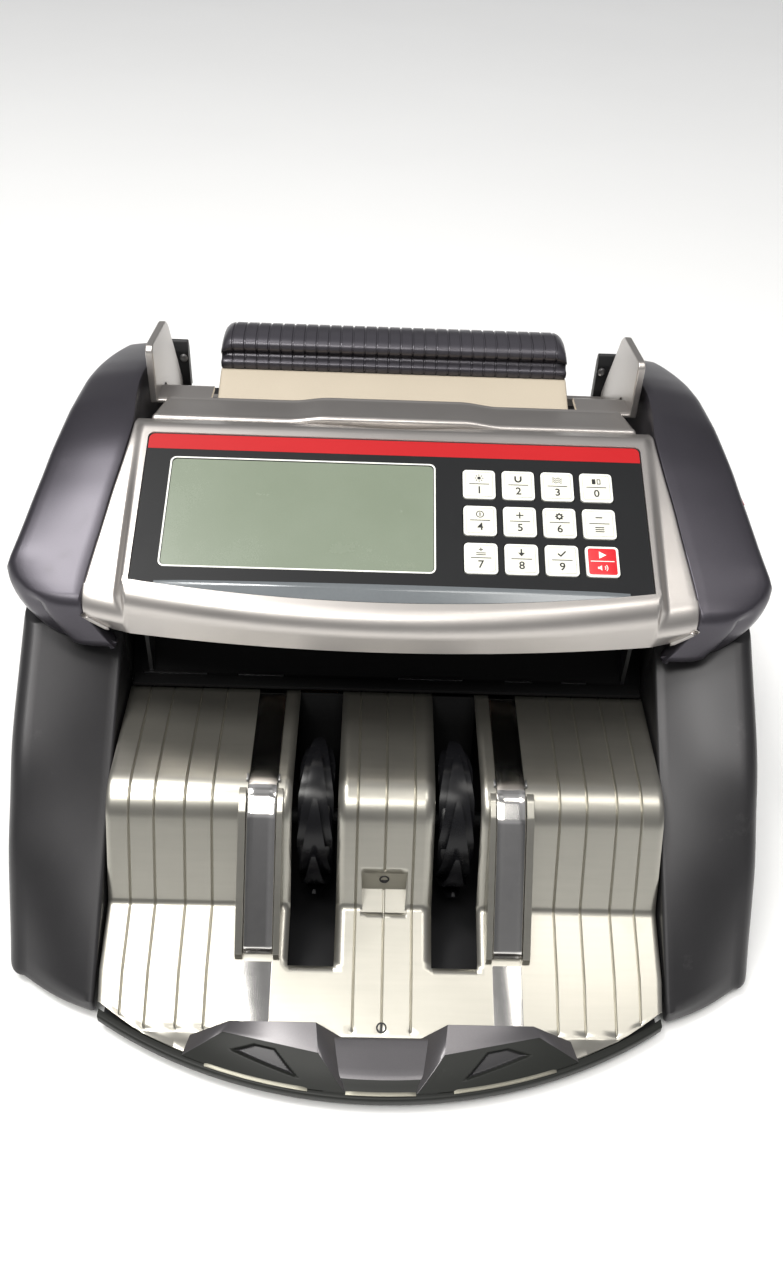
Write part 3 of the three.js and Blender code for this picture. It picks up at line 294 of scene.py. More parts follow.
# flat artwork: 2-D loops filled (inner loops become holes), set on the sloped panel at height n0..n1
SL = math.radians(24.6); CS, SN = math.cos(SL), math.sin(SL)
def panel(x, t, n): return (x, -21 + t * CS - n * SN, 135.4 + t * SN + n * CS)
PM = Matrix(((0.001, 0, 0, 0), (0, CS * 0.001, -SN * 0.001, (-21 + 1.5) * 0.001), (0, SN * 0.001, CS * 0.001, (135.4 - 6) * 0.001), (0, 0, 0, 1)))
def flat(name, loops, n0, n1, mat, texts=(), bev=0.0, plane=PM, res=1):
    meshes = []
    if loops:
        cu = bpy.data.curves.new(name, 'CURVE'); cu.dimensions = '2D'; cu.fill_mode = 'BOTH'
        cu.extrude = (n1 - n0) / 2 - bev; cu.bevel_depth = bev; cu.bevel_resolution = res; cu.offset = -bev if bev else 0
        for lp in loops:
            s = cu.splines.new('POLY'); s.points.add(len(lp) - 1); s.use_cyclic_u = True
            for i, p in enumerate(lp): s.points[i].co = (p[0], p[1], 0, 1)
        t = bpy.data.objects.new(name, cu); bpy.context.scene.collection.objects.link(t)
        bpy.context.view_layer.update()
        me = bpy.data.meshes.new_from_object(t.evaluated_get(bpy.context.evaluated_depsgraph_get()))
        me.transform(Matrix.Translation((0, 0, (n0 + n1) / 2))); meshes.append(me)
        bpy.data.objects.remove(t)
    for body, x, y, size in texts:
        cu = bpy.data.curves.new(name + '_t', 'FONT'); cu.body = body; cu.size = size; cu.align_x = 'CENTER'; cu.align_y = 'CENTER'
        cu.extrude = (n1 - n0) / 2; cu.resolution_u = 4; cu.offset = 0.07
        t = bpy.data.objects.new(name + '_t', cu); bpy.context.scene.collection.objects.link(t)
        bpy.context.view_layer.update()
        me = bpy.data.meshes.new_from_object(t.evaluated_get(bpy.context.evaluated_depsgraph_get()))
        co = np.array([v.co for v in me.vertices]); cx = (co[:, 0].min() + co[:, 0].max()) / 2; cy = (co[:, 1].min() + co[:, 1].max()) / 2
        me.transform(Matrix.Translation((x - cx, y - cy, (n0 + n1) / 2))); meshes.append(me)
        bpy.data.objects.remove(t)
    bm = bmesh.new()
    for me in meshes: bm.from_mesh(me)
    me = bpy.data.meshes.new(name); bm.to_mesh(me); bm.free()
    me.transform(plane)
    return finish_mesh(name, me, mat, sharp=30)

# ---------------------------------------------------------------- shape laws
ARC_R, ARC_Y, SEAM, REAR = 191.0, -149.4, 110.0, 143.0
def arc_y(x):
    a = abs(x)
    return ARC_Y + ARC_R - math.sqrt(ARC_R ** 2 - a * a) if a <= 103.5 else ARC_Y + 30.5 + (a - 103.5) * 0.6
HY = smooth_tab([(-30, 125.4), (-22, 129.5), (0, 142), (20, 153), (40, 162.3), (50, 164.6), (60, 165.9), (80, 166.3), (95, 164.8), (110, 162), (128, 158), (143, 154)])
def h_top(x, y): return HY(y) - 3.2 * max(0, (abs(x) - 104) / 26) ** 2 * clamp((y + 10) / 50)
OX = smooth_tab([(-12, 142), (0, 139.6), (15, 136.9), (30, 134.2), (50, 131.6), (80, 130), (110, 128.9), (143, 126)])
def outer_x(y): return OX(max(-12, y))
SX = smooth_tab([(-28, 113), (-22, 112.2), (10, 106.9), (45, 102), (62, 103.6), (80, 104.8), (143, 104.8)])
def bow(x): return 10 * (1 - min(1, abs(x) / 112) ** 2)
def panel_z(y): return 135.4 + (y + 21) * math.tan(SL)

# ---------------------------------------------------------------- top cover
def front(x): return -25.6 - bow(x)
def k3(x): return front(x) + 5.6
HALF = 95.25
def k2(x):
    a = abs(x)
    return -21 + (-0.25 - 6.9 * (1 - (a / HALF) ** 2)) * CS if a <= HALF else k3(x) + (-21 - 0.25 * CS - k3(HALF))
K1 = -21 + 65.15 * CS
def xe(y):
    d = K1 - y
    if d < 0: return lerp(HALF - 2.4, HALF, clamp(-d / 5))
    return HALF - (2.4 - math.sqrt(max(0, 2.4 ** 2 - (2.4 - d) ** 2))) if d < 2.4 else HALF
def frame_s(x, y):
    dx = abs(x) - HALF; dy = k2(min(abs(x), HALF)) - y - 0.5
    g = sstep(dx, 0, 2.5); d = math.hypot(max(dx, 0), max(dy, 0) * g)
    return (1 - sstep(d, 1.9, 5.6)) * (1 - sstep(y, 40.6, 46))
def cover_z(x, y):
    b = HY(min(y, 45)) - (max(0, y - 45) * 0.28)
    p = panel_z(y) + 0.42
    z = lerp(b, max(b, p), frame_s(x, y))
    if abs(x) < 34 and y > 43: z -= 1.15 * math.cos(math.pi / 68 * x) ** 2 * sstep(y, 44, 50)      # finger dish in the rear rim
    return z
def top_cover():
    cols_in = [i * 5.0 for i in range(19)] + [92.8]
    def half_cols(y0):
        e = xe(y0); sx = SX(min(45, y0) if y0 > -28 else -28)
        c = [x * e / HALF for x in cols_in] + [e - 0.02, e]
        k = min(1.0, (sx - e - 1.0) / 6.4)
        c += [e + o * k for o in (0.6, 1.3, 2.0, 2.7, 3.4, 4.2, 5.0, 5.8, 6.4)]
        b = e + 6.4 * k
        c += [lerp(b, sx - 0.8, 0.35), lerp(b, sx - 0.8, 0.7), sx - 0.8, sx - 0.35, sx - 0.1, sx, sx]
        return c
    m = len(half_cols(0)); nin = len(cols_in)
    drop = [0] * (m - 5) + [0.0, 0.12, 0.4, 0.8]
    drop = drop[:m - 1]
    rows = []
    spec = [('r', 52.6, 150.0), ('r', 52.6, 156.0)]
    spec += [('y', y, d) for y, d in ((52.6, 3.0), (52.5, 2.0), (52.2, 1.2), (51.6, .55), (50.9, .18), (50, 0), (49, 0), (47.6, 0), (46, 0), (44.4, 0), (42.8, 0), (41.4, 0), (40.2, 0), (39.2, 0))]
    spec += [('y', K1 + 0.02, 0), ('h', K1, 0)]
    spec += [('h', K1 - d, 0) for d in (0.15, 0.5, 1.1, 1.8, 2.4)]
    spec += [('m', t, 0) for t in lspace(0.05, 0.97, 13)] + [('m', 1.0, 0)]
    spec += [('k', 0.0, 0), ('k', 0.35, 0), ('k', 0.7, 0)] + [('a', a, 0) for a in range(0, 91, 9)] + [('f', t, 0) for t in (0.2, 0.45, 0.7, 0.9, 1.0)] + [('g', 0.7, 0), ('g', 2.4, 0)]
    for kind, v, d in spec:
        y0 = v if kind in 'ryh' else (lerp(K1 - 2.4, -21.2, v) if kind == 'm' else -24.0)
        hc = half_cols(y0 if kind != 'g' else -24.0); line = []
        for j, x in enumerate(hc):
            edge = drop[j] if j < m - 1 else 0
            sunk = kind in ('h', 'm') and j <= nin
            if kind == 'r': y, z = v, v and d
            elif kind in 'yh': y = v; z = cover_z(x, y) - d
            elif kind == 'm': y = lerp(K1 - 2.4, k2(x) + 0.02, v); z = cover_z(x, y)
            elif kind == 'k': y = lerp(k2(x), k3(x), v); z = cover_z(x, y)
            elif kind == 'a':
                a = math.radians(v); y = k3(x) - 5.6 * math.sin(a); z = cover_z(x, y) - 5.4 * (1 - math.cos(a))
            elif kind == 'f':
                y = front(x) + 0.7 * v; z = lerp(cover_z(x, front(x)) - 5.4, 115.9, v)
            else: y = front(x) + 0.7 + v; z = 115.5
            if kind in 'fg' and j > nin: x -= (x - 95.25) / 17.4 * 8.6 * (v if kind == 'f' else 1)
            if kind == 'a' and j > nin: x -= (x - 95.25) / 17.4 * 1.0 * (v / 90) ** 2
            if kind != 'r' and kind != 'g': z -= edge
            if sunk: z = min(z, panel(0, (y + 21) / CS, -2.0)[2]) if True else z
            if j == m - 1 and kind not in 'fg': z = min(z, lerp(117.0, z, sstep(v, 30, 85)) if kind == 'a' else 117.0)
            if j >= m - 2 and kind in 'r': z = min(z, 150.0 if j == m - 1 else z)
            line.append((x, y, z))
        rows.append([(-x, y, z) for x, y, z in reversed(line[1:])] + line)
    idx_h = [i for i, s in enumerate(spec) if s[0] in 'hm']
    c0 = m - 1
    def skip(i, j):
        # the pocket floor is open under the overlay, apart from a ledge
        if i < idx_h[0] + 2 or i >= idx_h[-1] - 1: return False
        return abs(j + 0.5 - c0) < nin - 2
    g = Grid(); g.sheet(rows, skip)
    o = O('cover_shell', g, 'silver', up=(0, -0.3, 1), sharp=40)
    thick(o, 1.6)
    return put(o, 'machine_body', 'silver', 'top_cover')
top_cover()

# ---------------------------------------------------------------- shoulders
def shoulder(s):
    Rn, Ro, Rr = 3.4, 4.2, 3.0
    ys = [REAR - Rr * (1 - math.sin(math.radians(a))) for a in (90, 72, 54, 36, 18, 0)]
    ys = [REAR, REAR - 0.2, REAR - 0.7, REAR - 1.5, REAR - 3.0] + lspace(136, -16, 40) + [-18.2] + [-25.4 + Rn * (1 - math.sin(math.radians(a))) for a in (0, 15, 30, 45, 60, 75, 90)]
    outs = [Ro * (1 - math.sin(math.radians(a))) for a in (0, 15, 30, 45, 60, 75, 90)]
    rows = []
    for y0 in ys:
        xin = SX(max(-28, y0)) + 0.3
        k = clamp((-y0 - 8) / 17.4); xo = outer_x(y0) - 13 * k ** 3
        w = xo - xin
        xs = [0, 0.25, 0.7] + [lerp(0.7, w - Ro, t) for t in (0.15, 0.3, 0.45, 0.6, 0.75, 0.88)] + [w - d for d in outs]
        line = []
        for u in xs:
            do, dn = w - u, y0 + 25.4
            a0, b0 = clamp((Rn - dn) / Rn), clamp((Ro - do) / Ro)
            a, b = a0 * math.sqrt(1 - b0 * b0 / 2), b0 * math.sqrt(1 - a0 * a0 / 2)
            yy = y0 + (a0 - a) * Rn; x = xin + u - (b0 - b) * Ro * 1.0
            q = min(1, a * a + b * b); dz = lerp(Ro, Rn, a) * (1 - math.sqrt(1 - q))
            c = clamp((0.7 - u) / 0.7); dz += 0.6 * (1 - math.sqrt(1 - c * c)) if u < 0.7 else 0
            r = clamp((y0 - (REAR - Rr)) / Rr); dz += 3.2 * (1 - math.sqrt(1 - r * r)) if r > 0 else 0
            sfr = u / w
            line.append((x, yy + (3.2 * sfr ** 3 if y0 < -18 else 3.2 * sfr ** 3 * sstep(-y0, 6, 18)), h_top(x, y0) - dz))
        rows.append(line)
    g = Grid(); g.sheet(rows)
    n, m = len(rows), len(rows[0])
    loop = [(i, m - 1) for i in range(n)] + [(n - 1, j) for j in range(m - 2, -1, -1)] + [(i, 0) for i in range(n - 2, -1, -1)] + [(0, j) for j in range(1, m - 1)]
    base = [rows[i][j] for i, j in loop]
    walls = [base]
    for t in (0.08, 0.2, 0.35, 0.5, 0.65, 0.8, 0.92, 0.985, 1.0):
        ring = []
        for (i, j), (x, y, z) in zip(loop, base):
            xin = rows[i][0][0]; xo = rows[i][-1][0]; sf = clamp((x - xin) / max(1e-6, xo - xin)); k = clamp((6 - y) / 30)
            f = t ** 1.7; ex = 0.9 * (max(0, t - 0.92) / 0.08)
            kn = sstep(-y, 8, 22); zb = SEAM + 0.25 - 3.6 * sstep(-y, 4, 20)
            ring.append((x - 13 * k * sf ** 3 * f - ex * sf - 10.2 * kn * (1 - sf) ** 1.5 * t ** 1.2, y + 1.4 * k * sf * sf * f + ex * (1 if i == n - 1 else 0), lerp(z, zb, t)))
        walls.append(ring)
    g.sheet(walls, wrap=True)
    mir(g, s)
    nm = 'right' if s > 0 else 'left'
    o = O('shoulder_shell_' + nm, g, 'dark', up=(0, 0, 1), sharp=40, recalc=True)
    thick(o, 1.9)
    put(o, 'machine_body', 'dark', 'shoulder_' + nm)
    # black guide lug on the rear inner edge
    lug = extr_x(round_poly([(137.6, 133.7), (142.6, 133.7), (142.6, 152.5), (141.4, 156.2), (139, 156.8), (137.6, 151.5)], [0.4, 0.4, 2, 1.6, 1.2, 2], 4), 95.9, 104.4)
    o = O('guide_lug_' + nm, mir(lug, s), 'black'); bevel(o, 0.5); put(o, 'machine_body', 'black')
    sc = turned_y((s * 98.2, 148.5), [(137.2, 0.02), (137.0, 1.2), (137.3, 1.9), (137.8, 1.9)], 20)
    o = O('lug_screw_' + nm, sc, 'steel'); put(o, 'machine_body', 'steel')
shoulder(1); shoulder(-1)

# ---------------------------------------------------------------- lower side panels
IF = smooth_tab([(17, -116.3), (60.5, -62), (100, -12), (110, 0.5)])
OF = smooth_tab([(10, -97.5), (21, -90.5), (35, -82.5), (49, -74), (63, -62.5), (77.6, -50.5), (100, -23), (110, -10)])
def side_x(y): return outer_x(y) - lin([(-12, 1.6), (10, 2.6)], y)
def cheek(z):
    a = -116.3 if z <= 17 else IF(z); b = OF(max(10, z)); p = []
    for y in (30, lerp(a, 30, 0.6), lerp(a, 30, 0.3), lerp(a, 30, 0.12), a + 4): p.append((103.3, y))
    p += [(103.32, a + 1.7), (103.48, a + 1.0), (103.85, a + 0.42), (104.4, a + 0.1), (105.0, a)]
    for t in (0.08, 0.2, 0.35, 0.5, 0.65, 0.8, 0.92):
        p.append((lerp(105.0, 133.4, t), lerp(a, b - 5.2, t) - 1.6 * math.sin(math.pi * t)))
    P0, P1, P2 = (133.4, b - 5.2), (139.9, b - 5.4), (140.4, b + 8)
    for t in lspace(0, 1, 9): p.append(tuple((1 - t) ** 2 * P0[i] + 2 * t * (1 - t) * P1[i] + t * t * P2[i] for i in range(2)))
    r0 = max(b + 14, -4)
    for q in (0, 0.1, 0.22, 0.36, 0.5, 0.65, 0.8, 0.92, 0.975):
        y = lerp(r0, REAR - 3.4, q); p.append((min(140.4, side_x(y)), y))
    xe_ = side_x(REAR - 3.4); p += [(xe_ - 0.2, REAR - 2.2), (xe_ - 0.9, REAR - 1.2), (xe_ - 2.0, REAR - 0.7), (xe_ - 3.6, REAR - 0.7)]
    return p
def side_panel(s):
    zs = [10.45, 10.8, 11.6, 13, 15, 17, 19] + lspace(23, 104, 26) + [107, 108.8, 109.5, 109.7]
    rows = []
    for z in zs:
        p = cheek(z)
        ins = 0.9 * max(0, (12.0 - z) / 1.55) ** 2 + (0.35 * max(0, (z - 109.0) / 0.7) ** 2)
        if ins > 0: p = offset_path(p, ins)
        rows.append([(x, y, z) for x, y in p])
    g = Grid(); g.sheet(rows); g.cap(rows[-1], True); mir(g, s)
    nm = 'right' if s > 0 else 'left'
    me_up = (s * 0.4, -1, 0.5)
    o = O('side_shell_' + nm, g, 'cheek', up=me_up, sharp=45)
    thick(o, 1.9)
    put(o, 'machine_body', 'dark', 'side_panel_' + nm)
side_panel(1); side_panel(-1)

# ---------------------------------------------------------------- control overlay, window, keys
LX0, LX1, LT0, LT1 = -84.8, 14.8, 6.5, 53.6
KX, KT, KW, KH = [32, 46.9, 61.8, 76.7], [45.4, 29.1, 12.8], 12.4, 13.0
def ov_outline(g, tcut=None):
    p = []
    for i in range(33):
        x = lerp(-95 - g, 95 + g, i / 32); p.append((x, -g - 6.9 * (1 - (abs(x) / (95 + g)) ** 2)))
    R_ = 2.4
    for a in range(0, 91, 15): p.append((95 + g - R_ + R_ * math.cos(math.radians(a)), 64.9 + g - R_ + R_ * math.sin(math.radians(a))))
    for a in range(90, 181, 15): p.append((-95 - g + R_ + R_ * math.cos(math.radians(a)), 64.9 + g - R_ + R_ * math.sin(math.radians(a))))
    return p
lc = ((LX0 + LX1) / 2, (LT0 + LT1) / 2); lw, lh = LX1 - LX0, LT1 - LT0
holes = [rrect(lc[0], lc[1], lw, lh, 2)]
for t in KT:
    for x in KX: holes.append(rrect(x, t, KW + 0.7, KH + 0.7, 1.8))
o = flat('overlay_film', [ov_outline(-0.05)] + holes, -1.6, 0.0, 'film'); put(o, 'machine_body', 'overlay', 'control_overlay')
red = [(-94.75, 57.8), (94.75, 57.8)]
R_ = 2.3
red += [(94.75 - R_ + R_ * math.cos(math.radians(a)), 64.65 - R_ + R_ * math.sin(math.radians(a))) for a in range(0, 91, 15)]
red += [(-94.75 + R_ + R_ * math.cos(math.radians(a)), 64.65 - R_ + R_ * math.sin(math.radians(a))) for a in range(90, 181, 15)]
o = flat('overlay_red_strip', [red], -0.1, 0.07, 'red'); put(o, 'machine_body', 'red')
band = [(x, -6.6 * (1 - (x / 95) ** 2) - 0.05) for x in lspace(-86, 86, 33)] + [(x, 0.75 - 0.75 * (x / 95) ** 2 - (0.0 if abs(x) < 80 else 0.3)) for x in lspace(86, -86, 17)]
o = flat('overlay_clear_band', [band], -0.1, 0.12, 'filmband', bev=0.04); put(o, 'machine_body', 'overlay')
o = flat('window_outline', [rrect(lc[0], lc[1], lw + 1.3, lh + 1.3, 2.3), rrect(lc[0], lc[1], lw + 0.1, lh + 0.1, 1.8)], -0.2, 0.10, 'creamrim'); put(o, 'machine_body', 'key')
o = flat('display_window', [rrect(lc[0], lc[1], lw - 0.3, lh - 0.3, 1.9)], -1.5, -0.30, 'lcd'); put(o, 'machine_body', 'lcd', 'lcd_window')

def ring2(x, y, r, w, n=24): return [circ(x, y, r, n), circ(x, y, r - w, n)]
def bar(x0, y0, x1, y1, w):
    dx, dy = x1 - x0, y1 - y0; l = math.hypot(dx, dy); nx, ny = -dy / l * w / 2, dx / l * w / 2
    return [(x0 + nx, y0 + ny), (x1 + nx, y1 + ny), (x1 - nx, y1 - ny), (x0 - nx, y0 - ny)]
def glyph(kind, x, y):
    L_ = []
    if kind == 'rays':
        L_ += [circ(x, y, 0.62, 16)]
        for a in range(0, 360, 45): c, s_ = math.cos(math.radians(a)), math.sin(math.radians(a)); L_.append(bar(x + c * 0.95, y + s_ * 0.95, x + c * 1.5, y + s_ * 1.5, 0.28))
    elif kind == 'magnet':
        A = [(x - 1.25, y + 1.2)] + [(x + 1.25 * math.cos(math.radians(a)), y - 0.1 + 1.25 * math.sin(math.radians(a))) for a in range(180, 361, 15)] + [(x + 1.25, y + 1.2), (x + 0.65, y + 1.2)]
        A += [(x + 0.65 * math.cos(math.radians(a)), y - 0.1 + 0.65 * math.sin(math.radians(a))) for a in range(360, 179, -15)] + [(x - 0.65, y + 1.2)]
        L_ += [A]
    elif kind == 'waves':
        for k in (-0.8, 0, 0.8):
            top = [(x - 1.7 + 3.4 * i / 12, y + k + 0.28 * math.sin(i / 12 * 4 * math.pi)) for i in range(13)]
            L_.append([(a, b + 0.14) for a, b in top] + [(a, b - 0.14) for a, b in reversed(top)])
    elif kind == 'double':
        L_ += [rrect(x - 0.75, y - 0.05, 1.25, 2.1, 0.2, 2), rrect(x + 0.95, y - 0.05, 1.25, 2.1, 0.2, 2), rrect(x + 0.95, y - 0.05, 0.7, 1.5, 0.1, 2)]
    elif kind == 'coin': L_ += ring2(x, y, 1.35, 0.3) + [rrect(x, y, 0.35, 1.5, 0.1, 2)]
    elif kind == 'plus': L_ += [[(x - 1.25, y - .22), (x - .22, y - .22), (x - .22, y - 1.25), (x + .22, y - 1.25), (x + .22, y - .22), (x + 1.25, y - .22), (x + 1.25, y + .22), (x + .22, y + .22), (x + .22, y + 1.25), (x - .22, y + 1.25), (x - .22, y + .22), (x - 1.25, y + .22)]]
    elif kind == 'minus': L_ += [rrect(x, y, 2.3, 0.45, 0.1, 2)]
    elif kind == 'gear':
        p = []
        for k in range(8):
            for dr, da in ((1.45, -9), (1.45, 9), (1.1, 14), (1.1, 31)): a = math.radians(k * 45 + da); p.append((x + dr * math.cos(a), y + dr * math.sin(a)))
        L_ += [p, circ(x, y, 0.55, 16)]
    elif kind == 'stack':
        for k in (-1.0, 0, 1.0): L_.append(rrect(x, y + k * 0.9, 3.4, 0.42, 0.12, 2))
    elif kind == 'sum': L_ += [bar(x - 1.6, y - 0.5, x + 1.6, y - 0.5, 0.3), bar(x - 1.6, y - 1.2, x + 1.6, y - 1.2, 0.3), bar(x, y + 0.1, x, y + 1.5, 0.32), bar(x - 0.7, y + 0.8, x - 0.17, y + 0.8, 0.32), bar(x + 0.17, y + 0.8, x + 0.7, y + 0.8, 0.32)]
    elif kind == 'down': L_ += [[(x - .25, y + 1.4), (x + .25, y + 1.4), (x + .25, y), (x + 1.15, y), (x, y - 1.4), (x - 1.15, y), (x - .25, y)]]
    elif kind == 'check': L_ += [[(x - 1.5, y - .1), (x - 1.1, y + .3), (x - .35, y - .45), (x + 1.15, y + 1.2), (x + 1.5, y + .85), (x - .35, y - 1.2)]]
    elif kind == 'play': L_ += [[(x - 1.0, y + 1.35), (x + 1.4, y), (x - 1.0, y - 1.35)]]
    elif kind == 'sound':
        L_ += [[(x - 1.9, y + .45), (x - 1.2, y + .45), (x - .4, y + 1.15), (x - .4, y - 1.15), (x - 1.2, y - .45), (x - 1.9, y - .45)]]
        for r in (0.85, 1.6):
            L_.append([(x + r * math.cos(math.radians(a)), y + r * math.sin(math.radians(a))) for a in range(-45, 46, 15)] + [(x + (r + .28) * math.cos(math.radians(a)), y + (r + .28) * math.sin(math.radians(a))) for a in range(45, -46, -15)])
    return L_
NAMES = [['key_1', 'key_2', 'key_3', 'key_0'], ['key_4', 'key_5', 'key_6', 'key_minus'], ['key_7', 'key_8', 'key_9', 'key_start']]
ICON = {'key_1': 'rays', 'key_2': 'magnet', 'key_3': 'waves', 'key_0': 'double', 'key_4': 'coin', 'key_5': 'plus', 'key_6': 'gear', 'key_minus': 'minus', 'key_7': 'sum', 'key_8': 'down', 'key_9': 'check', 'key_start': 'play'}
for r_, t in enumerate(KT):
    for c_, x in enumerate(KX):
        nm = NAMES[r_][c_]; body = nm; start = nm == 'key_start'
        o = flat(nm + '_cap', [rrect(x, t, KW, KH, 1.6, 6)], -1.0, 0.50, 'creamrim', bev=0.22, res=2); put(o, body, 'key' if not start else 'red', nm)
        o = flat(nm + '_face', [rrect(x, t, KW - 1.9, KH - 1.9, 0.9, 5)], 0.40, 0.56, 'keyred' if start else 'cream', bev=0.03); put(o, body, 'red' if start else 'key')
        ink = 'creamrim' if start else 'ink'
        if not start:
            o = flat(nm + '_line', [rrect(x, t, KW - 1.9, KH - 1.9, 0.9, 5), rrect(x, t, KW - 2.2, KH - 2.2, 0.75, 5)], 0.5, 0.585, 'inkgrey'); put(o, body, 'key')
        loops = [rrect(x, t + 0.1, 8.8 if start else 7.6, 0.34, 0.1, 2)] + [[(x + (a - x) * 1.12, t + 2.75 + (b - t - 2.75) * 1.12) for a, b in lp] for lp in glyph(ICON[nm], x, t + 2.75)]
        texts = []
        if nm == 'key_minus': loops += glyph('stack', x, t - 2.5)
        elif start: loops += glyph('sound', x, t - 2.7)
        else: texts = [(nm[-1], x, t - 2.6, 4.5)]
        o = flat(nm + '_mark', loops, 0.52, 0.60, ink, texts=texts); put(o, body, 'black' if not start else 'white')

# ---------------------------------------------------------------- feed gap lid
def lid():
    def wave(x): return 1 - sstep(abs(x), 27, 43)
    def hwave(x): return 1 - sstep(abs(x), 22, 46)
    xs = [-97.2, -97.05, -96.6, -95.9, -95.2, -94.4, -93.6, -92.8] + lspace(-90, 90, 73) + [92.8, 93.6, 94.4, 95.2, 95.9, 96.6, 97.05, 97.2]
    prof = [(53.1, 157.2), (53.1, 158.6), (53.12, 159.8), (53.3, 160.6), (53.7, 161.2), (54.3, 161.55), (55.0, 161.66), (55.7, 161.6), (56.2, 161.3), (56.8, 161.12), (58, 161.05), (60, 160.9), (63, 160.6), (67, 160.1), (71, 159.6), (73.4, 159.3), (74.2, 159.25), (74.9, 159.45), (75.6, 159.4), (76.2, 159.0), (76.55, 158.3), (76.6, 157.4), (76.6, 156.5)]
    rows = []
    for y, z in prof:
        line = []
        for x in xs:
            a = abs(x); e = clamp((97.2 - a) / 1.2)
            dz = 1.2 * (1 - math.sqrt(1 - (1 - e) ** 2))
            beadx = 0.30 * math.exp(-((97.2 - a - 1.7) / 0.7) ** 2) if 55.5 < y < 74.5 else 0
            sl = (y - 53.1) / 23.5 * 2.6 * sstep(a, 84, 97.2)      # ends slant in towards the rear
            zz = z + (1.7 * wave(x) if z > 157.6 else 0) - (dz if z > 158 else 0) + beadx
            yy = y
            line.append((math.copysign(a - sl, x), yy, zz))
        rows.append(line)
    bottom = [[(x, y, 156.4 if y > 60 else 157.2) for x, y, _ in [rows[-1][j]]][0] for j in range(len(xs))]
    g = Grid(); g.sheet(rows)
    n, m = len(rows), len(xs)
    low = [[(x, y, 156.45 if i > 10 else 157.2) for x, y, z in r] for i, r in enumerate(rows)]
    g.sheet([list(reversed(r)) for r in low])
    for j, rv in ((0, False), (m - 1, True)):
        for i in range(n - 1):
            q = [rows[i][j], rows[i + 1][j], low[i + 1][j], low[i][j]]
            k = len(g.v); g.v += q; g.f.append((k, k + 1, k + 2, k + 3) if not rv else (k + 3, k + 2, k + 1, k))
    o = O('gap_lid', g, 'silver', sharp=50)
    put(o, 'feed_gap_lid', 'silver', 'feed_gap_lid')
lid()

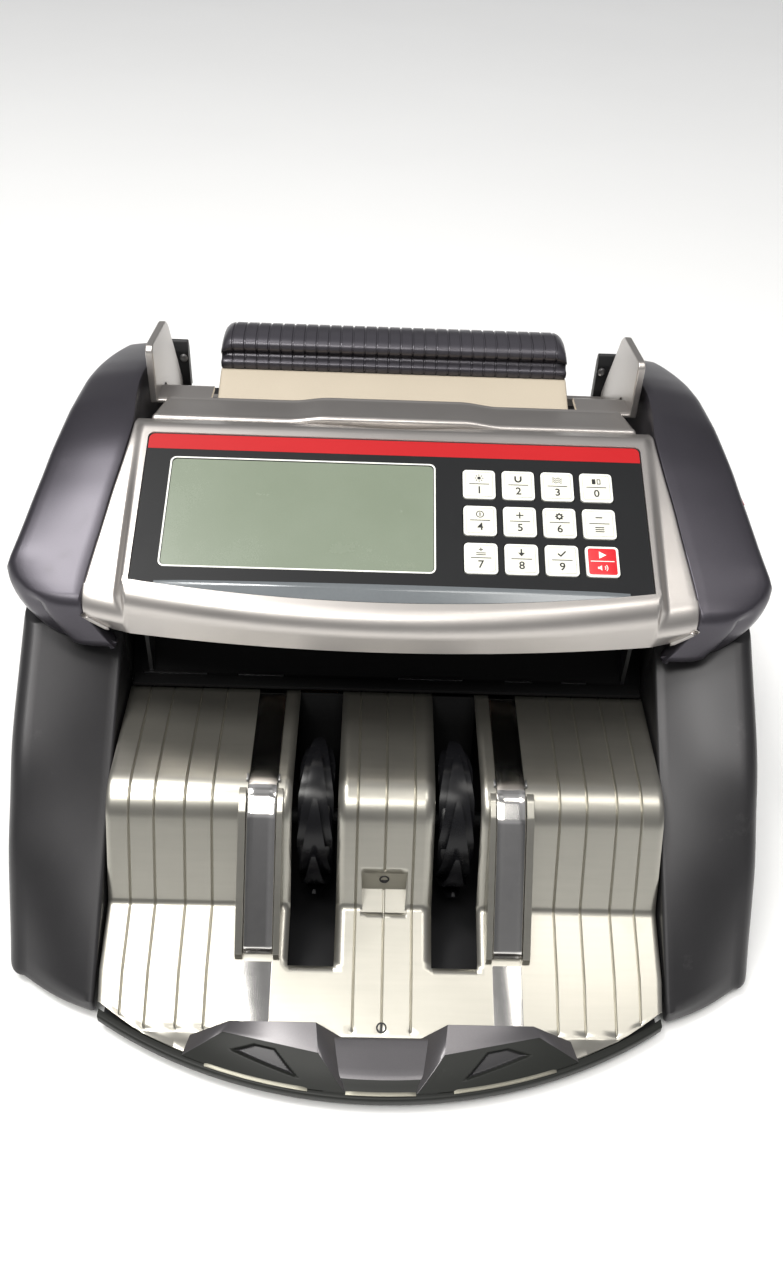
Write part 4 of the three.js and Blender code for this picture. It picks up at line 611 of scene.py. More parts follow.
# ---------------------------------------------------------------- stacker tray
P1_, P2_ = (-66.7, 73.05), (-85.25, 34.1)
tp = fillet_path([(-13, 77.5), P1_, P2_, (-107, 23.9)], [0, 17, 5, 0], 16)
tpath = densify(tp, 2.6)
def floor_z(y): return 23.9 + (y + 107) * 0.4686
def tray():
    grooves = [0, 10.5, 63.7, 73.7, 84.8, 94.0]
    xs = set()
    for q in grooves:
        for d in (-0.55, -0.3, 0, 0.3, 0.55):
            xs.add(round(q + d, 3)); xs.add(round(-q - d, 3))
    for q in (3, 6, 8.7, 8.72, 14, 17.8, 18.6, 26, 33.9, 34.7, 37.6, 40, 45, 51, 53.9, 58, 68, 79, 89, 98, 100.2, 101.3, 102.2, 102.5):
        xs.add(q); xs.add(-q)
    xs = sorted(xs)
    def depth(x):
        d = min(abs(abs(x) - q) for q in grooves)
        return 0.62 * max(0, 1 - d / 0.55)
    rows = []; yl = []
    path = tpath; nrm = offset_path(path, 1.0)
    def place(p, q, x):
        nx, nz = q[0] - p[0], q[1] - p[1]          # unit normal (left of path = below)
        e = clamp((102.5 - abs(x)) / 1.2); ed = 1.2 * (1 - math.sqrt(max(0, 1 - (1 - e) ** 2)))
        d = depth(x) + ed
        return (x, p[0] + nx * d, p[1] + nz * d)
    for p, q in zip(path, nrm): rows.append([place(p, q, x) for x in xs]); yl.append(p[0])
    for t, t2 in [(v, 0) for v in (0.02, 0.12, 0.25, 0.4, 0.55, 0.7, 0.84, 0.93, 0.98, 1.0)] + [(1, v) for v in (0.04, 0.5, 0.93, 1.0)]:
        line = []
        for x in xs:
            yf = arc_y(x) + 2.9; ym = max(-125.9, yf); y = lerp(-107, ym, t) if t2 == 0 else lerp(ym, yf, t2)
            z = floor_z(y) if t2 == 0 else max(15.0, floor_z(ym)) - 0.05 - 0.35 * max(0, (t2 - 0.9) / 0.1)
            e = clamp((102.5 - abs(x)) / 1.2); ed = 1.2 * (1 - math.sqrt(max(0, 1 - (1 - e) ** 2)))
            d = depth(x) * (1 - sstep(t, 0.9, 0.98)) + ed
            if abs(x) < 66 and t2 > 0: z = min(z, 14.6)
            line.append((x * (1 - 0.0085 * min(1, t)), y, z - d))
        rows.append(line); yl.append(-107 - 20 * t - t2)
    def skip(i, j):
        xm = (xs[j] + xs[j + 1]) / 2; y = (yl[i] + yl[i + 1]) / 2
        if 17.8 < abs(xm) < 34.7 and y > -104.5: return True
        if abs(xm) < 8.7 and -87.0 < y < -79.0: return True
        return False
    g = Grid(); g.sheet(rows, skip)
    o = O('tray_shell', g, 'tray', up=(0, -0.5, 1), sharp=28)
    thick(o, 1.5)
    put(o, 'machine_body', 'silver', 'stacker_tray')
    # side flange of the tray
    for s in (1, -1):
        side = [(y, z - 1.4) for y, z in path] + [(-107, 20.5), (-90, 21), (-60, 21), (-20, 50), (-13, 60)]
        fl = extr_x(side, 100.2, 101.4)
        o = O('tray_flange_' + ('r' if s > 0 else 'l'), mir(fl, s), 'tray'); put(o, 'machine_body', 'silver')
    # sensor notch: flat pocket floor and two little lenses
    fl = extr_x([(-79.2, 37.6), (-78.6, 38.0), (-76.8, 46.4), (-77.6, 46.8), (-79.9, 36.9), (-88.0, 32.0), (-88.0, 32.9)], -8.6, 8.6)
    xn = (-8.7, -0.55, -0.2, 0.2, 0.55, 8.7); gd = (0, 0, 0.5, 0.5, 0, 0)
    nb = Grid(); nb.sheet([[(x, -78.9, 47.4) for x in xn], [(x, -79.0, floor_z(-79.0) - 0.02 - k) for x, k in zip(xn, gd)]])
    nb.sheet([[(x, y, floor_z(y) - 0.02 - k) for x, k in zip(xn, gd)] for y in (-79.0, -83.0, -89.2)])
    for sx in (-8.7, 8.7):
        k = len(nb.v); nb.v += [(sx, -78.9, 47.4), (sx, -79.0, floor_z(-79.0) - 0.02), (sx, -83.0, floor_z(-83.0) - 0.02), (sx, -86.2, floor_z(-86.2) - 0.1), (sx, -84.9, 35.0)]; nb.f.append((k, k + 1, k + 2, k + 3, k + 4) if sx > 0 else (k + 4, k + 3, k + 2, k + 1, k))
    o = O('notch_plate', nb, 'tray', up=(0, -0.5, 1), recalc=False); o.data.shade_flat(); thick(o, 0.8); put(o, 'machine_body', 'silver')
    for nm, c, ax in (('notch_lens', (0, -79.1, 42.9), (0, -1, 0.1)), ('floor_lens', (0, -123.6, 16.15), (0, -0.42, 0.9))):
        g2 = turned_z((0, 0), [(-0.6, 1.9), (0.05, 1.9), (0.22, 1.75), (0.22, 1.35), (-0.2, 1.25), (-0.25, 0.05)], 28)
        me = bpy.data.meshes.new(nm); me.from_pydata([(v[0] * .001, v[1] * .001, v[2] * .001) for v in g2.v], [], g2.f)
        rot = Vector((0, 0, 1)).rotation_difference(Vector(ax)).to_matrix().to_4x4()
        me.transform(Matrix.Translation(Vector(W(c))) @ rot)
        o = finish_mesh(nm, me, 'black'); put(o, 'machine_body', 'black')
tray()

# ---------------------------------------------------------------- note rails
def rails(s):
    nm = 'right' if s > 0 else 'left'
    # bright strip: flush on top, then straight down to the floor
    top = fillet_path([(-14, 78.2), (-64.5, 74.1), (-72.0, 68.4), (-102.6, 28.9)], [0, 11, 9, 0], 10)
    top = densify(top, 3.0)
    low = offset_path(top, 0.9)
    rows = [[(40.1 + dx, p[0] + (q[0] - p[0]) * k, p[1] + (q[1] - p[1]) * k) for dx, k in ((0, 1), (0, 0.35), (0.12, 0.1), (0.4, 0), (3, 0), (5.4, 0), (8, 0), (10.4, 0), (10.68, 0.1), (10.8, 0.35), (10.8, 1))] for p, q in zip(top, low)]
    g = Grid(); g.sheet(rows); mir(g, s)
    o = O('rail_strip_' + nm, g, 'chrome', up=(0, -0.6, 0.7), sharp=45); thick(o, 0.5)
    put(o, 'machine_body', 'chrome', 'note_rail_' + nm)
    # flanges either side of the strip
    outer = [(-61.5, 75.0), (-66.8, 73.7), (-71.6, 69.9), (-103.2, 28.9), (-103.5, 26.0), (-102.0, 26.2), (-90.5, 32.0), (-86.8, 33.9), (-84.4, 36.8), (-70.8, 65.2), (-66.0, 71.6)]
    outer = round_poly(outer, [2, 4, 5, 0.8, 0.4, 0.2, 3, 3, 3, 5, 4], 4)
    for x0, x1, k in ((37.7, 39.9, 'a'), (51.1, 53.8, 'b')):
        o = O('rail_flange_' + nm + k, mir(extr_x(outer, x0, x1), s), 'tray'); bevel(o, 0.45, 3); put(o, 'machine_body', 'silver')
    # short clip ears at the bend
    for x0, x1, k in ((39.3, 40.0, 'a'), (51.0, 51.7, 'b')):
        o = O('rail_ear_' + nm + k, mir(extr_x(round_poly([(-57.0, 73.6), (-57.0, 75.3), (-60.2, 75.0), (-60.2, 73.4)], 0.5, 3), x0, x1), s), 'steel'); bevel(o, 0.2); put(o, 'machine_body', 'steel')
    # strip on the tray floor down to the stop
    rows = []
    for y in lspace(-103.8, -126.2, 10):
        z = floor_z(y) + 0.28
        rows.append([(40.1, y, z - 0.3), (40.15, y, z - 0.05), (40.4, y, z), (45.5, y, z), (50.6, y, z), (50.85, y, z - 0.05), (50.9, y, z - 0.3)])
    g = Grid(); g.sheet(rows); mir(g, s)
    o = O('floor_strip_' + nm, g, 'chrome', up=(0, 0, 1), sharp=50); put(o, 'machine_body', 'chrome')
rails(1); rails(-1)

# ---------------------------------------------------------------- front stop
def stop():
    z0 = 14.75
    # centre bar between the two humps
    g = Grid(); rows = []; low = []
    for x in lspace(-19.5, 19.5, 27):
        f = arc_y(x)
        r = [(x, -128.0, z0), (x, -128.0, 17.0), (x, -128.2, 17.5), (x, -128.7, 17.75), (x, -129.6, 17.75)]
        for t in (0.25, 0.5, 0.75, 0.92): r.append((x, lerp(-129.6, f + 6.9, t), lerp(17.75, 16.35, t)))
        r += [(x, f + 6.9, 16.2), (x, f + 6.4, 15.95)]
        rows.append(r); low.append([(x, f + 6.4, 15.95), (x, f + 4.6, 15.3), (x, f + 2.2, 14.95), (x, f + 1.7, 14.6), (x, f + 1.7, z0 - 0.4), (x, -128.0, z0 - 0.4), (x, -128.0, z0)])
    g.sheet(rows); k = len(g.f); g.sheet(low); e0, e1 = rows[0] + low[0][1:-1], rows[-1] + low[-1][1:-1]; g.cap(e0); g.cap(e1, True)
    o = O('stop_centre', g, 'stop', sharp=42, mats=('stopdark',), mi=[0] * k + [1] * (len(g.f) - k)); put(o, 'machine_body', 'dark', 'front_stop')
    # dark front bevel under the centre bar
    for s in (1, -1):
        nm = 'right' if s > 0 else 'left'
        TB1, TB2, TF1, TF2 = (23.0, -126.9, 24.6), (53, -126.9, 24.6), (21.8, -136.2, 20.9), (55.2, -129.4, 21.6)
        L1, L2 = (12.2, arc_y(12.2) + 1.7, 15.0), (69.3, arc_y(69.3) + 1.7, 15.0)
        B1, B2 = (13.8, -126.9, 15.0), (67.5, -126.9, 15.0)
        PK = [(28.2, 10.0), (36.8, 1.7), (44.0, 1.6), (52.6, 5.7)]
        g = Grid(); N1, N2 = 70, 20
        def lowpt(u): x = lerp(12.2, 69.3, u); return (x, arc_y(x) + 1.7, 15.0)
        def toppt(u): return tuple(lerp(TF1[i], TF2[i], u) for i in range(3))
        # normal of the sloping front face
        nf = Vector((0.16, -0.62, 0.77)).normalized()
        rows = []
        us = sorted(set([round(v, 4) for v in lspace(0, 1, N1)])); vs_ = lspace(0, 1, N2 * 2 + 1)
        for v in vs_:
            line = []
            for u in us:
                a, b = toppt(u), lowpt(u); p = Vector([lerp(a[i], b[i], v) for i in range(3)])
                p += nf * 0.9 * math.sin(math.pi * v) * 0.4
                # pocket: four-sided, with a long low inner corner
                q = (p.x, v * 13.0); dd = 9.0
                for (ax, ay), (bx, by) in zip(PK, PK[1:] + PK[:1]):
                    l = math.hypot(bx - ax, by - ay); dd = min(dd, ((bx - ax) * (q[1] - ay) - (by - ay) * (q[0] - ax)) / l)
                p -= nf * 1.35 * clamp(dd / 0.9)
                line.append(tuple(p))
            rows.append(line)
        g.sheet(rows); nface = len(g.f); fmi = []
        for v0, v1 in zip(vs_, vs_[1:]):
            for k in range(len(us) - 1):
                vm, um = (v0 + v1) / 2, (us[k] + us[k + 1]) / 2; xm = lerp(lerp(TF1[0], TF2[0], um), lerp(12.2, 69.3, um), vm); dd = 9.0
                for (ax, ay), (bx, by) in zip(PK, PK[1:] + PK[:1]): dd = min(dd, ((bx - ax) * (vm * 13 - ay) - (by - ay) * (xm - ax)) / math.hypot(bx - ax, by - ay))
                fmi.append(2 if dd > 0.55 else 1)
        def quad(A, B, C, D, n=8, m=8):
            g.sheet([[tuple(lerp(lerp(A[i], B[i], u), lerp(D[i], C[i], u), v) for i in range(3)) for u in lspace(0, 1, n)] for v in lspace(0, 1, m)])
        g2 = Grid()
        g.sheet([[tuple(lerp(TB1[i] + (TB2[i] - TB1[i]) * u, toppt(u)[i], v) for i in range(3)) for u in us] for v in lspace(0, 1, 6)])
        vline = [r[0] for r in rows]; vl2 = [r[-1] for r in rows]
        g.sheet([[tuple(lerp(lerp(TB1[i], B1[i], v), vline[k][i], w) for i in range(3)) for w in lspace(0, 1, 7)] for k, v in enumerate(vs_)])
        g.sheet([[tuple(lerp(lerp(TB2[i], B2[i], v), vl2[k][i], w) for i in range(3)) for w in lspace(0, 1, 7)] for k, v in enumerate(vs_)])
        g.sheet([[tuple(lerp(lerp(TB1[i], TB2[i], u), lerp(B1[i], B2[i], u), v) for i in range(3)) for u in us] for v in vs_])
        g.sheet([[tuple(lerp(lerp(B1[i], B2[i], u), lowpt(u)[i], w) for i in range(3)) for u in us] for w in lspace(0, 1, 7)])
        mir(g, s)
        o = O('stop_hump_' + nm, g, 'stop', sharp=30, mats=('stopdark', 'cheek'), mi=fmi + [0] * (len(g.f) - nface))
        bevel(o, 0.8, 3, 24); put(o, 'machine_body', 'dark')
    # bright line inlaid above the base rim; the dark band below it is the base rim, built in base()
    for nm, x0, x1, dy in (('centre', -12, 12, 1.25), ('left', -61, -25, 1.0), ('right', 25, 61, 1.0)):
        g = Grid(); rows = []
        for x in lspace(x0, x1, 22):
            f = arc_y(x) + dy; e = clamp(min(x - x0, x1 - x) / 2.0); h = 0.10 + 0.34 * e
            rows.append([(x, f + 1.1, 14.9), (x, f + 1.1, 15.0 + h), (x, f + 0.35, 14.95 + h), (x, f - 0.15, 14.9 + h * 0.45), (x, f - 0.15, 14.9)])
        g.sheet(rows); g.cap(rows[0]); g.cap(rows[-1], True)
        o = O('stop_line_' + nm, g, 'stopline', sharp=40); put(o, 'machine_body', 'silver')
stop()

# ---------------------------------------------------------------- base pan
def base():
    g = Grid(); rows = []
    for x in sorted(set(lspace(-101.7, 101.7, 61))):
        f = arc_y(x)
        rows.append([(x, f + 3.4, 12.0), (x, f + 3.0, 14.45), (x, f + 1.0, 14.5), (x, f + 0.4, 14.35), (x, f + 0.05, 13.9), (x, f, 13.2), (x, f, 11.3), (x, f + 0.3, 10.6), (x, f + 1.0, 10.35), (x, f + 3.4, 10.32), (x, f + 3.4, 12.0)])
    g.sheet(rows); g.cap(rows[0][:-1]); g.cap(rows[-1][:-1], True)
    o = O('base_rim', g, 'stopdark', sharp=50); put(o, 'machine_body', 'dark')
    # underside tray with ribs
    g = Grid(); ys = [-112, -100] + lspace(-90, 138.5, 24)
    plan = [(x, arc_y(x) + 3.3) for x in lspace(-100, 100, 31)] + [(100, 100), (100.5, 138.4), (-100.5, 138.4), (-100, 100)]
    b = extr_z(plan, 10.4, 12.6); o = O('base_plate', b, 'black', sharp=40); put(o, 'machine_body', 'dark', 'base_pan')
    for i, y in enumerate(lspace(-60, 110, 9)):
        o = O('base_rib_%d' % i, extr_x(round_poly([(y - 1.2, 12.4), (y + 1.2, 12.4), (y + 1.0, 14.6), (y - 1.0, 14.6)], 0.3, 2), -90, -74), 'black'); put(o, 'machine_body', 'dark')
        o = O('base_ribr_%d' % i, extr_x(round_poly([(y - 1.2, 12.4), (y + 1.2, 12.4), (y + 1.0, 14.6), (y - 1.0, 14.6)], 0.3, 2), 74, 90), 'black'); put(o, 'machine_body', 'dark')
    for s in (1, -1):
        o = O('base_skirt_' + ('r' if s > 0 else 'l'), mir(extr_z([(100.4, -57), (121.5, -57), (121.5, 138), (100.4, 138)], 10.45, 12.4), s), 'black'); bevel(o, 0.4); put(o, 'machine_body', 'dark')
    for nm, x, y in (('front_left', -82, -96), ('front_right', 82, -96), ('rear_left', -98, 118), ('rear_right', 98, 118)):
        ft = turned_z((x, y), [(6.02, 0.5), (6.02, 6.4), (6.25, 7.3), (6.9, 8.1), (9.4, 8.7), (10.1, 8.75), (10.2, 8.2), (10.2, 0.5)], 40)
        o = O('foot_pad_' + nm, ft, 'rubber', sharp=45); put(o, 'machine_body', 'rubber', 'foot_' + nm)
base()

# ---------------------------------------------------------------- hopper plate, handle, guides
def hopper():
    top = fillet_path([(66.2, 132.4), (117, 153.15), (140, 153.15)], [0, 5, 0], 6); low = offset_path(top, -1.9)
    low = [(y, z) for y, z in low]
    g = Grid(); rows = []
    for x in [-77.9, -77.6, -77.0] + lspace(-75, 75, 31) + [77.0, 77.6, 77.9]:
        e = 0.5 * (clamp((abs(x) - 76.9) / 1.0)) ** 2; rows.append([(x, y, z - e) for y, z in densify(top, 6)])
    g.sheet(rows); o = O('hopper_slope', g, 'beige', up=(0, -0.3, 1), sharp=40); thick(o, 1.7); put(o, 'machine_body', 'beige', 'hopper_plate')
    for s in (1, -1):
        sk = extr_x(round_poly([(79.0, 133.4), (119.0, 133.4), (119.0, 138.8), (136.2, 138.8), (136.2, 133.4), (140, 133.4), (140, 151.2), (117.6, 151.2), (79.0, 135.9)], [0.5, 0.3, 0.8, 0.8, 0.3, 0.5, 0.5, 3, 0.5], 3), 75.8, 77.8)
        o = O('hopper_skirt_' + ('r' if s > 0 else 'l'), mir(sk, s), 'beige'); bevel(o, 0.3); put(o, 'machine_body', 'beige')
    # feed bed with a wide notch in its front edge
    bed = extr_z([(-104.2, 78), (-75, 78), (-75, 114), (75, 114), (75, 78), (104.2, 78), (104.2, 137.0), (93.2, 137.0), (93.2, 140.1), (-93.2, 140.1), (-93.2, 137.0), (-104.2, 137.0)], 130.6, 132.95)
    o = O('bed_plate', bed, 'black'); bevel(o, 0.4); put(o, 'machine_body', 'black', 'hopper_bed')
hopper()

def handle():
    prof = [(117.35, 153.62), (117.15, 154.2), (117.1, 155.6), (117.25, 156.4), (117.7, 157.0), (118.5, 157.45), (119.6, 157.9), (120.5, 158.5), (120.9, 159.3), (120.7, 160.1), (119.9, 160.8), (119.0, 161.5),
            (118.55, 162.4), (118.6, 163.5), (119.2, 164.7), (120.3, 165.8), (122.0, 166.6), (124.4, 167.15), (128, 167.5), (132, 167.55), (136, 167.1), (139.6, 166.1), (142.4, 164.4), (144.6, 161.9), (145.9, 158.9), (146.35, 156), (146.1, 154.2), (145.7, 153.62)]
    cy, cz = 131.5, 159.0
    n = len(prof); nr = []
    for i in range(n):
        a, b = prof[max(0, i - 1)], prof[min(n - 1, i + 1)]; dx, dy = b[0] - a[0], b[1] - a[1]; l = math.hypot(dx, dy)
        v = (dy / l, -dx / l)                     # right of travel: inwards for this winding
        nr.append(v)
    pitch = 5.37; cnt = 29; xs = []
    for k in range(cnt + 1):
        xg = -77.9 + pitch * k
        if k == 0: xs += [(-77.9, 0.0, 1.0)]
        elif k == cnt: xs += [(77.9, 0.0, 1.0)]
        else: xs += [(xg - 0.52, 0.0, 0), (xg - 0.30, 0.5, 0), (xg, 0.6, 0), (xg + 0.30, 0.5, 0), (xg + 0.52, 0.0, 0)]
        if k < cnt: xs += [(xg + 1.1, 0.0, 0), (xg + pitch * 0.5, 0.0, 0), (xg + pitch - 1.1, 0.0, 0)]
    extra = [(s * (77.9 - d), 0.0, 0) for s in (1, -1) for d in (0.08, 0.3, 0.75, 1.4)]
    xs = sorted(xs + extra)
    rows = []
    for x, ins, _ in xs:
        d = 77.9 - abs(x); line = []
        for i, (y, z) in enumerate(prof):
            # grip segments: flutes deepest on the front and top
            f = 1.0 if i < 24 else 0.5
            e = 2.2 * (1 - math.sqrt(max(0, 1 - (1 - clamp(d / 2.2)) ** 2)))
            tr = 5.6 * (1 - math.sqrt(max(0, 1 - (1 - clamp(d / 6.0)) ** 2)))      # rounded top corners in front view
            ny, nz = nr[i]
            k = ins * f + e * 0.5
            yy, zz = y + ny * k, z + nz * k
            zz -= tr * clamp((z - 157) / 9.0)
            line.append((x, yy, max(153.62, zz)))
        rows.append(line)
    g = Grid(); g.sheet(rows, wrap=True); g.cap(rows[0]); g.cap(rows[-1], True)
    o = O('grip', g, 'handle', sharp=38); put(o, 'machine_body', 'dark', 'carry_handle')
    # painted shadow: a black strip under the grip, standing in for the shadow line where the grip overhangs the plate
    o = O('grip_painted_shadow', extr_x([(117.6, 153.2), (118.6, 153.2), (118.6, 153.75), (117.6, 153.75)], -77.2, 77.2), 'black'); put(o, 'machine_body', 'black')
handle()

def guides(s):
    nm = 'right' if s > 0 else 'left'; body = 'note_guide_' + nm
    fin = round_poly([(77.4, 155.3), (77.6, 177.6), (79.6, 179.7), (110.5, 177.5), (114.4, 174.6), (136, 139.5), (136, 133.7), (118, 133.7), (97, 155.3)], [0.6, 3, 2, 6, 7, 3, 0.8, 0.8, 3], 6)
    o = O('fin_' + nm, mir(extr_x(fin, 99.2, 102.3), s), 'silver', sharp=30); bevel(o, 1.05, 4, 40)
    put(o, body, 'silver', 'note_guide_' + nm)
    foot = round_poly([(77.7, 155.25), (92, 155.25), (92, 156.8), (90.5, 157.15), (79.4, 157.15), (77.7, 156.6)], [0.2, 0.3, 0.5, 0.4, 0.6, 0.5], 3)
    o = O('guide_foot_' + nm, mir(extr_x(foot, 77.2, 100.2), s), 'silver'); bevel(o, 0.25, 2); put(o, body, 'silver')
    lip = round_poly([(77.8, 157.0), (91.6, 157.0), (91.6, 157.55), (77.8, 157.55)], 0.2, 2)
    # toothed rack under the bed
    y0, y1 = ((127.7 + 3.5, 127.7 + 7.1) if s > 0 else (127.7 - 7.1, 127.7 - 3.5))
    poly = []; face = y0 if s > 0 else y1; back_ = y1 if s > 0 else y0
    a, b = -13.8, 101.2
    xs_ = []; x = a
    prof = [(a, back_), (b, back_), (b, face)]
    teeth = []
    nteeth = int((b - 76 - a) / 0 if False else 20)
    k = 0; tpts = []
    while k < 20:
        xx = 40 - k * 2.6
        if s > 0: tpts += [(xx, face), (xx - 0.4, face + 0.0), (xx - 0.8, face + 0.7), (xx - 1.8, face + 0.7), (xx - 2.2, face)]
        else: tpts += [(xx, face), (xx - 0.4, face - 0.0), (xx - 0.8, face - 0.7), (xx - 1.8, face - 0.7), (xx - 2.2, face)]
        k += 1
    prof = [(a, back_), (b, back_), (b, face)] + tpts + [(a, face)]
    prof = [(p[0], p[1]) for p in prof]
    g = extr_z([(s * p[0], p[1]) for p in prof], 133.65, 137.3)
    o = O('guide_rack_' + nm, g, 'silver'); put(o, body, 'silver')
guides(1); guides(-1)
g = Grid(); pts = []
for k in range(14):
    for r, a in ((2.55, -0.16), (3.25, -0.07), (3.25, 0.07), (2.55, 0.16)): pts.append((r * math.cos(k * 2 * math.pi / 14 + a), 127.7 + r * math.sin(k * 2 * math.pi / 14 + a)))
o = O('pinion_gear', extr_z(pts, 133.65, 137.3), 'white'); bevel(o, 0.12, 1); put(o, 'guide_pinion', 'white', 'guide_pinion')

# ---------------------------------------------------------------- stacker wheels
def wheel(x0, x1, nm):
    cy, cz = -51.0, 45.5; xc = (x0 + x1) / 2; hw = (x1 - x0) / 2
    g = turned_x((cy, cz), [(x0 + 1.6, 3.3), (x0 + 0.4, 20.4), (x0 + 0.7, 21.6), (x0 + 1.8, 22.2), (xc, 22.6), (x1 - 1.8, 22.2), (x1 - 0.7, 21.6), (x1 - 0.4, 20.4), (x1 - 1.6, 3.3)], 64)
    o = O('wheel_drum_' + nm, g, 'wheel', sharp=40); put(o, 'stacker', 'wheel', 'stacker_wheel_' + nm)
    g = Grid(); NB = 9; span = math.radians(92); NI = 22
    for b in range(NB):
        a0 = 2 * math.pi * b / NB + math.radians(80)
        top, bot = [], []
        for i in range(NI + 1):
            t = i / NI; r = 31.0 - 9.8 * t ** 1.15; w = lerp(0.7, hw - 0.3, min(1, t * 1.25) ** 0.80); a = a0 + span * t
            lt, lb = [], []
            for j in range(11):
                u = j / 5 - 1
                tail = math.radians(2) * (abs(u) ** 1.2 - 0.55) * t ** 4                      # swallow-tail rear edge
                rr_ = r - 0.55 * abs(u) ** 2 * t
                lt.append((xc + u * w, cy + rr_ * math.cos(a + tail), cz + rr_ * math.sin(a + tail)))
                r2 = max(21.0, rr_ - lerp(1.6, 1.2, t)); w2 = w * (0.90 if t > 0.05 else 0.6)
                lb.append((xc + u * w2, cy + r2 * math.cos(a + tail), cz + r2 * math.sin(a + tail)))
            top.append(lt); bot.append(lb)
        g.sheet(top); g.sheet([list(reversed(r)) for r in bot])
        for i in range(NI):
            for j in (0, 10):
                q = [top[i][j], top[i + 1][j], bot[i + 1][j], bot[i][j]]; k = len(g.v); g.v += q; g.f.append((k, k + 1, k + 2, k + 3))
        for i in (0, NI):
            for j in range(10):
                q = [top[i][j], top[i][j + 1], bot[i][j + 1], bot[i][j]]; k = len(g.v); g.v += q; g.f.append((k, k + 1, k + 2, k + 3))
    o = O('wheel_blades_' + nm, g, 'wheel', sharp=35); bevel(o, 0.22, 2, 40); put(o, 'stacker', 'wheel')
wheel(-33.2, -19.3, 'left'); wheel(19.3, 33.2, 'right')

# ---------------------------------------------------------------- throat details
def throat():
    p = [(-10.6, 76.2), (-6, 82), (6, 96), (12, 104), (14.5, 118)]
    q = densify(fillet_path(p, [0, 6, 20, 8, 0], 5), 4)
    g = Grid(); g.sheet([[(x, y, z) for y, z in q] for x in lspace(-102.2, 102.2, 21)])
    o = O('throat_wall', g, 'matte', up=(0, -1, 0.6)); thick(o, 0.9); put(o, 'machine_body', 'black', 'throat_plate')
    # ledge across the top of the tray, with short steel strips along its edge where it glints: painted highlights
    o = O('throat_ledge', extr_x(round_poly([(-14.6, 78.7), (-8.0, 78.9), (-8.0, 80.4), (-14.6, 80.1)], 0.4, 3), -101, 101), 'matte'); put(o, 'machine_body', 'black')
    for i, (x0, x1) in enumerate(((-97.5, -72.5), (-60, -42), (4, 30), (47, 58), (70, 80))):
        o = O('ledge_glint_strip_%d' % i, extr_x([(-8.9, 80.6), (-8.3, 80.6), (-8.3, 81.0), (-8.9, 81.0)], x0, x1), 'steel'); put(o, 'machine_body', 'steel')
    for i, (x, y, z) in enumerate(((-28.5, 3.2, 92.8), (26.5, 3.2, 92.8))):
        g2 = turned_z((0, 0), [(-0.4, 2.3), (0.5, 2.3), (0.9, 1.9), (1.0, 0.9), (0.6, 0.8), (0.6, 0.02)], 20)
        me = bpy.data.meshes.new('throat_screw_%d' % i); me.from_pydata([(v[0] * .001, v[1] * .001, v[2] * .001) for v in g2.v], [], g2.f)
        me.transform(Matrix.Translation(Vector(W((x, y, z)))) @ Vector((0, 0, 1)).rotation_difference(Vector((0, -0.77, 0.64))).to_matrix().to_4x4())
        o = finish_mesh('throat_screw_%d' % i, me, 'steel'); put(o, 'machine_body', 'steel')
    # inner side liners of the throat
    for s in (1, -1):
        ln = Grid(); ln.sheet([[(102.9, y, z) for y in lspace(-8, 30, 6)] for z in lspace(60, 113, 6)]); mir(ln, s)
        o = O('throat_liner_' + ('r' if s > 0 else 'l'), ln, 'matte', up=(-s, 0, 0)); thick(o, 0.8); put(o, 'machine_body', 'black')
        g2 = turned_x((-1.2, 103.4), [(s * 101.3, 0.02), (s * 101.2, 1.2), (s * 101.5, 1.8), (s * 102.3, 1.8)], 18)
        o = O('liner_screw_' + ('r' if s > 0 else 'l'), g2, 'steel'); put(o, 'machine_body', 'steel')
throat()
for s in (1, -1):
    nm = 'right' if s > 0 else 'left'
    arc = [(-22.5, 17.0), (-18.4, 28.0), (-17.4, 45.0), (-16.0, 62.0), (-14.2, 76.6)]
    g = Grid(); g.sheet([[(x, y, z) for x in lspace(17.0, 35.6, 5)] for y, z in arc]); mir(g, s)
    o = O('wheel_well_' + nm, g, 'matte', up=(0, -1, 0)); thick(o, 0.6); put(o, 'machine_body', 'black')
# painted shade: a matte black sheet under the cover, below the display board, so the shaded underside reads black in
# the tray's reflection
shade_sheet_pts = [panel(0, t, -11.0) for t in (-3, 10, 30, 52)]
g = Grid(); g.sheet([[(x, p[1], p[2]) for x in lspace(-92, 92, 7)] for p in shade_sheet_pts])
o = O('cover_shade_sheet', g, 'matte', up=(0, 0, -1)); thick(o, 0.7); put(o, 'machine_body', 'black')

